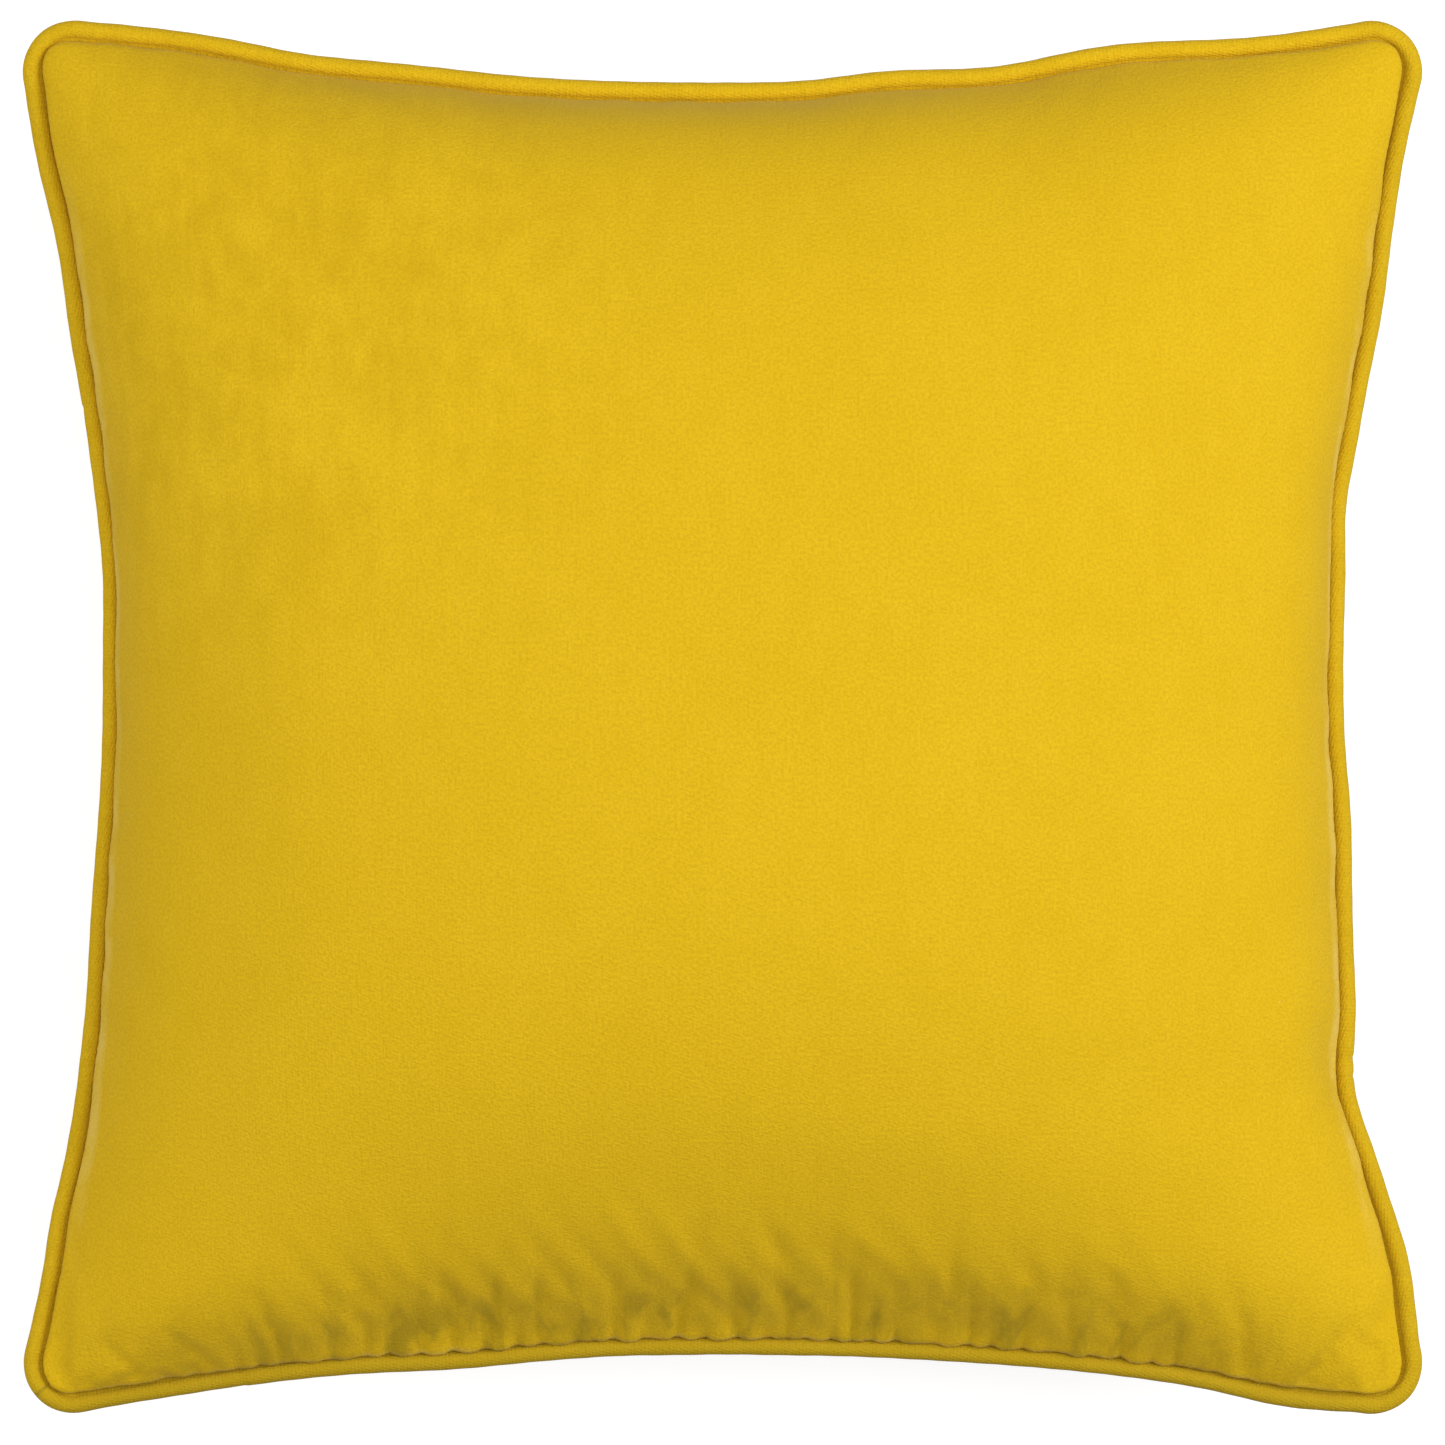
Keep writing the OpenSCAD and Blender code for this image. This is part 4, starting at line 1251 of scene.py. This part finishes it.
class ZipLine:
    """Stations along the zip, by distance from its middle."""

    def __init__(self, along):
        self.far = np.asarray(along, float)
        angle = self.far / ZIP_RADIUS
        self.points = np.stack([np.sin(angle), np.cos(angle)], 1) * ZIP_RADIUS
        self.points[:, 1] -= HALF_L + ZIP_RADIUS - BOWS[0]
        self.inward = np.stack([np.sin(angle), np.cos(angle)], 1)

    ring = SeamLine.ring


def coil(first, last, spine, reach):
    """One side's coil: flattened loops whose bows reach out to mesh with the other side."""
    loops = int((last - first) / COIL_PITCH)
    turn = np.linspace(0, loops * 2 * math.pi, loops * 12 + 1)
    line = ZipLine(first + (last - first) * turn / turn[-1])
    bow = np.sign(np.cos(turn)) * np.abs(np.cos(turn)) ** 0.7
    path = line.ring(COIL_INSET + COIL_THICK * np.sin(turn), spine + reach * (1 - bow) / 2)
    return tube(path, WIRE_R, 5)


# %% Coils, tape stitching and bar tacks
wire_front = coil(-147 * MM, 134 * MM, -2.55 * MM, -2.0 * MM)
coil_front = new_piece("zip_coil_front", *wire_front, nylon, "zip_coil")
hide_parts("zip_teeth_front")
wire_back = coil(-146.4 * MM, 134.6 * MM, -5.45 * MM, 2.0 * MM)
coil_back = new_piece("zip_coil_back", *wire_back, nylon, "zip_coil")
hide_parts("zip_teeth_back")

tape_line = ZipLine(np.arange(-ZIP_HALF - TAIL, ZIP_HALF + TAIL, STITCH / 5))
all_along = np.ones(len(tape_line.points), bool)
for side, node, heights in (("front", "zip_thread_front", (1.85, -1.62)),
                            ("back", "zip_thread_back", (-6.45, -8.45))):
    rows = [part for h in heights for part in lockstitch(tape_line, 9.2 * MM, h * MM, all_along)]
    row = new_piece(f"zip_stitches_{side}", *joined(rows), gold_thread, "sewing_thread")
    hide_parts(node)

tacks = []
for start in (-184.5 * MM, 182 * MM):
    tack_line = ZipLine(np.linspace(start, start + 2.5 * MM, 26))
    for height in (ON_CLOTH, -ON_CLOTH):
        swing = np.tile([7.6 * MM, 10.6 * MM], 13)
        tacks.append(tube(tack_line.ring(swing, height), FINE_THREAD_R, 5))
bar_tacks = new_piece("zip_end_tacks", *joined(tacks), gold_thread, "sewing_thread")
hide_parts("zip_bar_tacks")

# %% Finishes of the zip's CAD pieces
def dress(node, material, rounding=0.0):
    """Gives a CAD node its finish, and rounds its edges with a modifier if rounding is given."""
    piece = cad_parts[node]
    piece.data.materials.clear()
    piece.data.materials.append(material)
    if rounding:
        bevel = piece.modifiers.new("rounded edges", "BEVEL")
        bevel.width = rounding
        bevel.segments = 3
        bevel.limit_method = "ANGLE"
        bevel.angle_limit = math.radians(40)
        bevel.harden_normals = True


for node in ("zip_tape_front", "zip_tape_back"):
    dress(node, tape_cloth)
    place = np.array([v.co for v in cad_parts[node].data.vertices])
    set_cloth_place(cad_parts[node], place)
for node, rounding in (("zip_top_stops", 0.15), ("zip_bottom_stop", 0.2),
                       ("zip_slider", 0.1), ("zip_pull", 0.18)):
    dress(node, lacquer, rounding * MM)

# %% [markdown]
# ## Care label
#
# A satin strip is folded and caught in the left seam, inside the cover. It is a small
# sheet of cloth: a flat strip bent along a path, with a slight curl. It carries no text.

# %% Label
LABEL_W = 28 * MM
LABEL_CURL = 0.5 * MM
label_path = np.array([(7.6, -1.95), (9.4, -2.0), (11.2, -2.3), (12.3, -3.6), (12.7, -5.6),
                       (12.9, -8.6), (12.8, -11.6), (12.4, -14.8), (12.2, -18.0)]) * MM
fine_path = finer(finer(label_path[:, None]))[:, 0]
label_far = np.r_[0, np.cumsum(np.linalg.norm(np.diff(fine_path, axis=0), axis=1))]
across = np.linspace(-LABEL_W / 2, LABEL_W / 2, 29)
left_middle = SeamLine(2, swaying=False).points[3 * 2 + 1]      # halfway along the fourth side
curl = LABEL_CURL * np.cos(across / LABEL_W * 2 * math.pi)[None, :]
curl = curl * (label_far / label_far[-1])[:, None] ** 2
sheet_x = left_middle[0] + fine_path[:, 0][:, None] + curl
sheet_grid = np.stack([sheet_x, np.broadcast_to(across, sheet_x.shape),
                       SEAM_Z + np.broadcast_to(fine_path[:, 1][:, None], sheet_x.shape)], 2)
rows, columns = sheet_grid.shape[:2]
quads = [(i * columns + j, i * columns + j + 1, (i + 1) * columns + j + 1, (i + 1) * columns + j)
         for i in range(rows - 1) for j in range(columns - 1)]
label = new_piece("care_label_satin", sheet_grid.reshape(-1, 3), quads, satin, "label_satin")
on_label = np.stack(np.broadcast_arrays(across[None, :], label_far[:, None], 0.0), 2)
set_cloth_place(label, on_label.reshape(-1, 3))
thicken = label.modifiers.new("satin thickness", "SOLIDIFY")
thicken.thickness = 0.25 * MM
thicken.offset = 0
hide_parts("care_label")
print(f"label {label_far[-1] / MM:.1f} mm long")

# %% [markdown]
# ## The pad
#
# The stuffed pad is a smaller pillow of white cotton that presses against the velvet. So
# its casing is found from the velvet: wherever a vertical line meets a panel, the casing
# lies a little inside it, and rounds off only near the pad's own seam.

# %% Casing panels and filling
PAD_N = 96
PAD_SHARE = 0.905             # of the pillow's outline
CLEARANCE = 2.0 * MM
CASING_T = 0.45 * MM
PUCKER = 0.5 * MM             # of the casing beside its seam


def pad_surface(panel, facing, count):
    """A grid just inside a velvet panel, closing to the pad's seam."""
    skin = BVHTree.FromPolygons([Vector(p) for p in panel.reshape(-1, 3)], grid_faces(panel.shape[0]))
    line = SeamLine(count - 1)
    edge = np.column_stack([line.points * PAD_SHARE, np.full(len(line.points), SEAM_Z)])
    grid = patch(edge, count)
    t = np.abs(np.linspace(-1, 1, count))
    close = np.sqrt(np.clip(1 - t ** 9, 0, 1))
    close = close[:, None] * close[None, :]
    for i in range(count):
        for j in range(count):
            x, y, _ = grid[i, j]
            place, normal, _, _ = skin.ray_cast(Vector((x, y, SEAM_Z)), Vector((0, 0, facing)))
            if place is None:
                grid[i, j, 2] = SEAM_Z
                continue
            room = abs(place.z - SEAM_Z) - CLEARANCE / max(abs(normal.z), 0.35)
            grid[i, j, 2] = SEAM_Z + facing * max(room, 0) * close[i, j]
    pucker = PUCKER * np.cos(2 * math.pi * np.arange(count) / 4.2)
    near = np.exp(-(np.minimum(np.arange(count), np.arange(count)[::-1]) / 3.0) ** 2)
    ripple = near[:, None] * pucker[None, :] + near[None, :] * pucker[:, None]
    grid[..., 2] -= facing * np.abs(ripple) * (close > 0.05)
    grid[..., 2] += facing * 0.12 * MM
    return grid


def pad_ring(count, inset, height):
    line = SeamLine(count - 1)
    line.points = line.points * PAD_SHARE
    return line.ring(inset, height)


pad_side = np.linspace(-0.2, 0.2, PAD_N * 2 + 1)
pad_x, pad_y = np.meshgrid(pad_side, pad_side, indexing="ij")
pad_flat = np.stack([pad_x, pad_y, np.zeros_like(pad_x)], 2)
pad_grids = {}
for name, panel, facing, node in (("pad_cotton_front", front_grid, 1, "pad_casing_front"),
                                  ("pad_cotton_back", back_grid, -1, "pad_casing_back")):
    grid = pad_surface(panel, facing, PAD_N + 1)
    pad_grids[facing] = grid
    rings = [pad_ring(PAD_N + 1, inset * MM, facing * up * MM)
             for inset, up in ((1.5, 0.12), (6, 0.12), (6, 0.6), (3, 0.6), (1.2, 0.65))]
    casing = sewn_shell(name, finer_grid(grid), rings, CASING_T, facing < 0, calico, "pad_cotton")
    set_shell_place(casing, pad_flat, len(rings) - 1)
    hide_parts(node)

# %% Filling
FILL_SHARE = 0.965            # of the casing's outline
FILL_EDGE = 1.2 * MM          # half the filling's thickness at its rim


def fluffed(grid, facing):
    """The wadding's surface: inside the casing, and lumpy."""
    x, y = grid[..., 0], grid[..., 1]
    lumps = (np.sin(73 * x + 3 * np.sin(41 * y)) * np.sin(67 * y + 2 * np.sin(37 * x))
             + 0.5 * np.sin(151 * x + 1) * np.sin(143 * y + 2))
    depth = 2.2 * MM + 0.7 * MM * (1.5 + lumps)
    out = grid * (FILL_SHARE, FILL_SHARE, 1)
    out[..., 2] = SEAM_Z + np.clip((grid[..., 2] - SEAM_Z) * facing - depth, 0, 1) * facing
    return out


up, down = fluffed(pad_grids[1], 1), fluffed(pad_grids[-1], -1)
size = PAD_N + 1
i, j = border(size)
up[i, j, 2] = SEAM_Z + FILL_EDGE
down[i, j, 2] = SEAM_Z - FILL_EDGE
faces = grid_faces(size) + grid_faces(size, size * size, flip=True)
top_rim, low_rim = i * size + j, size * size + i * size + j
for k in range(len(i)):
    n = (k + 1) % len(i)
    faces.append((int(top_rim[n]), int(top_rim[k]), int(low_rim[k]), int(low_rim[n])))
filling = new_piece("pad_wadding", np.concatenate([up.reshape(-1, 3), down.reshape(-1, 3)]),
                    faces, wadding, "fibre_fill")
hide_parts("pad_filling")

# %% Threads of the pad
pad_line = SeamLine(520)
pad_line.points = pad_line.points * PAD_SHARE
closing = (np.abs(pad_line.points[:, 0]) < 78 * MM) & (pad_line.points[:, 1] < 0)
pad_rows = lockstitch(pad_line, 3.6 * MM, 0.85 * MM, ~closing)
pad_rows += lockstitch(pad_line, 3.6 * MM, -0.85 * MM, ~closing)
pad_thread = new_piece("pad_seam_stitches", *joined(pad_rows), white_thread, "pad_thread")
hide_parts("pad_seam_thread")
whip = zigzag(pad_line, 1.4 * MM, -0.3 * MM, -0.5 * MM, 0.5 * MM, closing)
pad_close = new_piece("pad_whip_stitches", *joined(whip), white_thread, "pad_thread")
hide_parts("pad_closing_stitch")
print("pad threads", len(pad_thread.data.polygons) + len(pad_close.data.polygons), "faces")

# %% [markdown]
# ## Floor
#
# The floor is plain and pale. It glows a little for the camera alone, so that it stays
# white and keeps only a faint shadow, yet throws hardly any light up at the pillow.

# %% Floor
FLOOR_GLOW = 0.8
studio_floor = flat_square("studio_floor", 6, 0)
studio_floor.location.z = -0.0005       # just under the pillow, so the two don't flicker
white, tree, sockets = new_material("studio_white", 0.9, Specular_IOR_Level=0.0)
sockets["Base Color"].default_value = (0.35, 0.35, 0.35, 1)
sockets["Emission Color"].default_value = (1, 1, 1, 1)
seen = tree.nodes.new("ShaderNodeLightPath").outputs["Is Camera Ray"]
wire(tree, (math_node(tree, "MULTIPLY", seen, FLOOR_GLOW), sockets["Emission Strength"]))
studio_floor.data.materials.append(white)
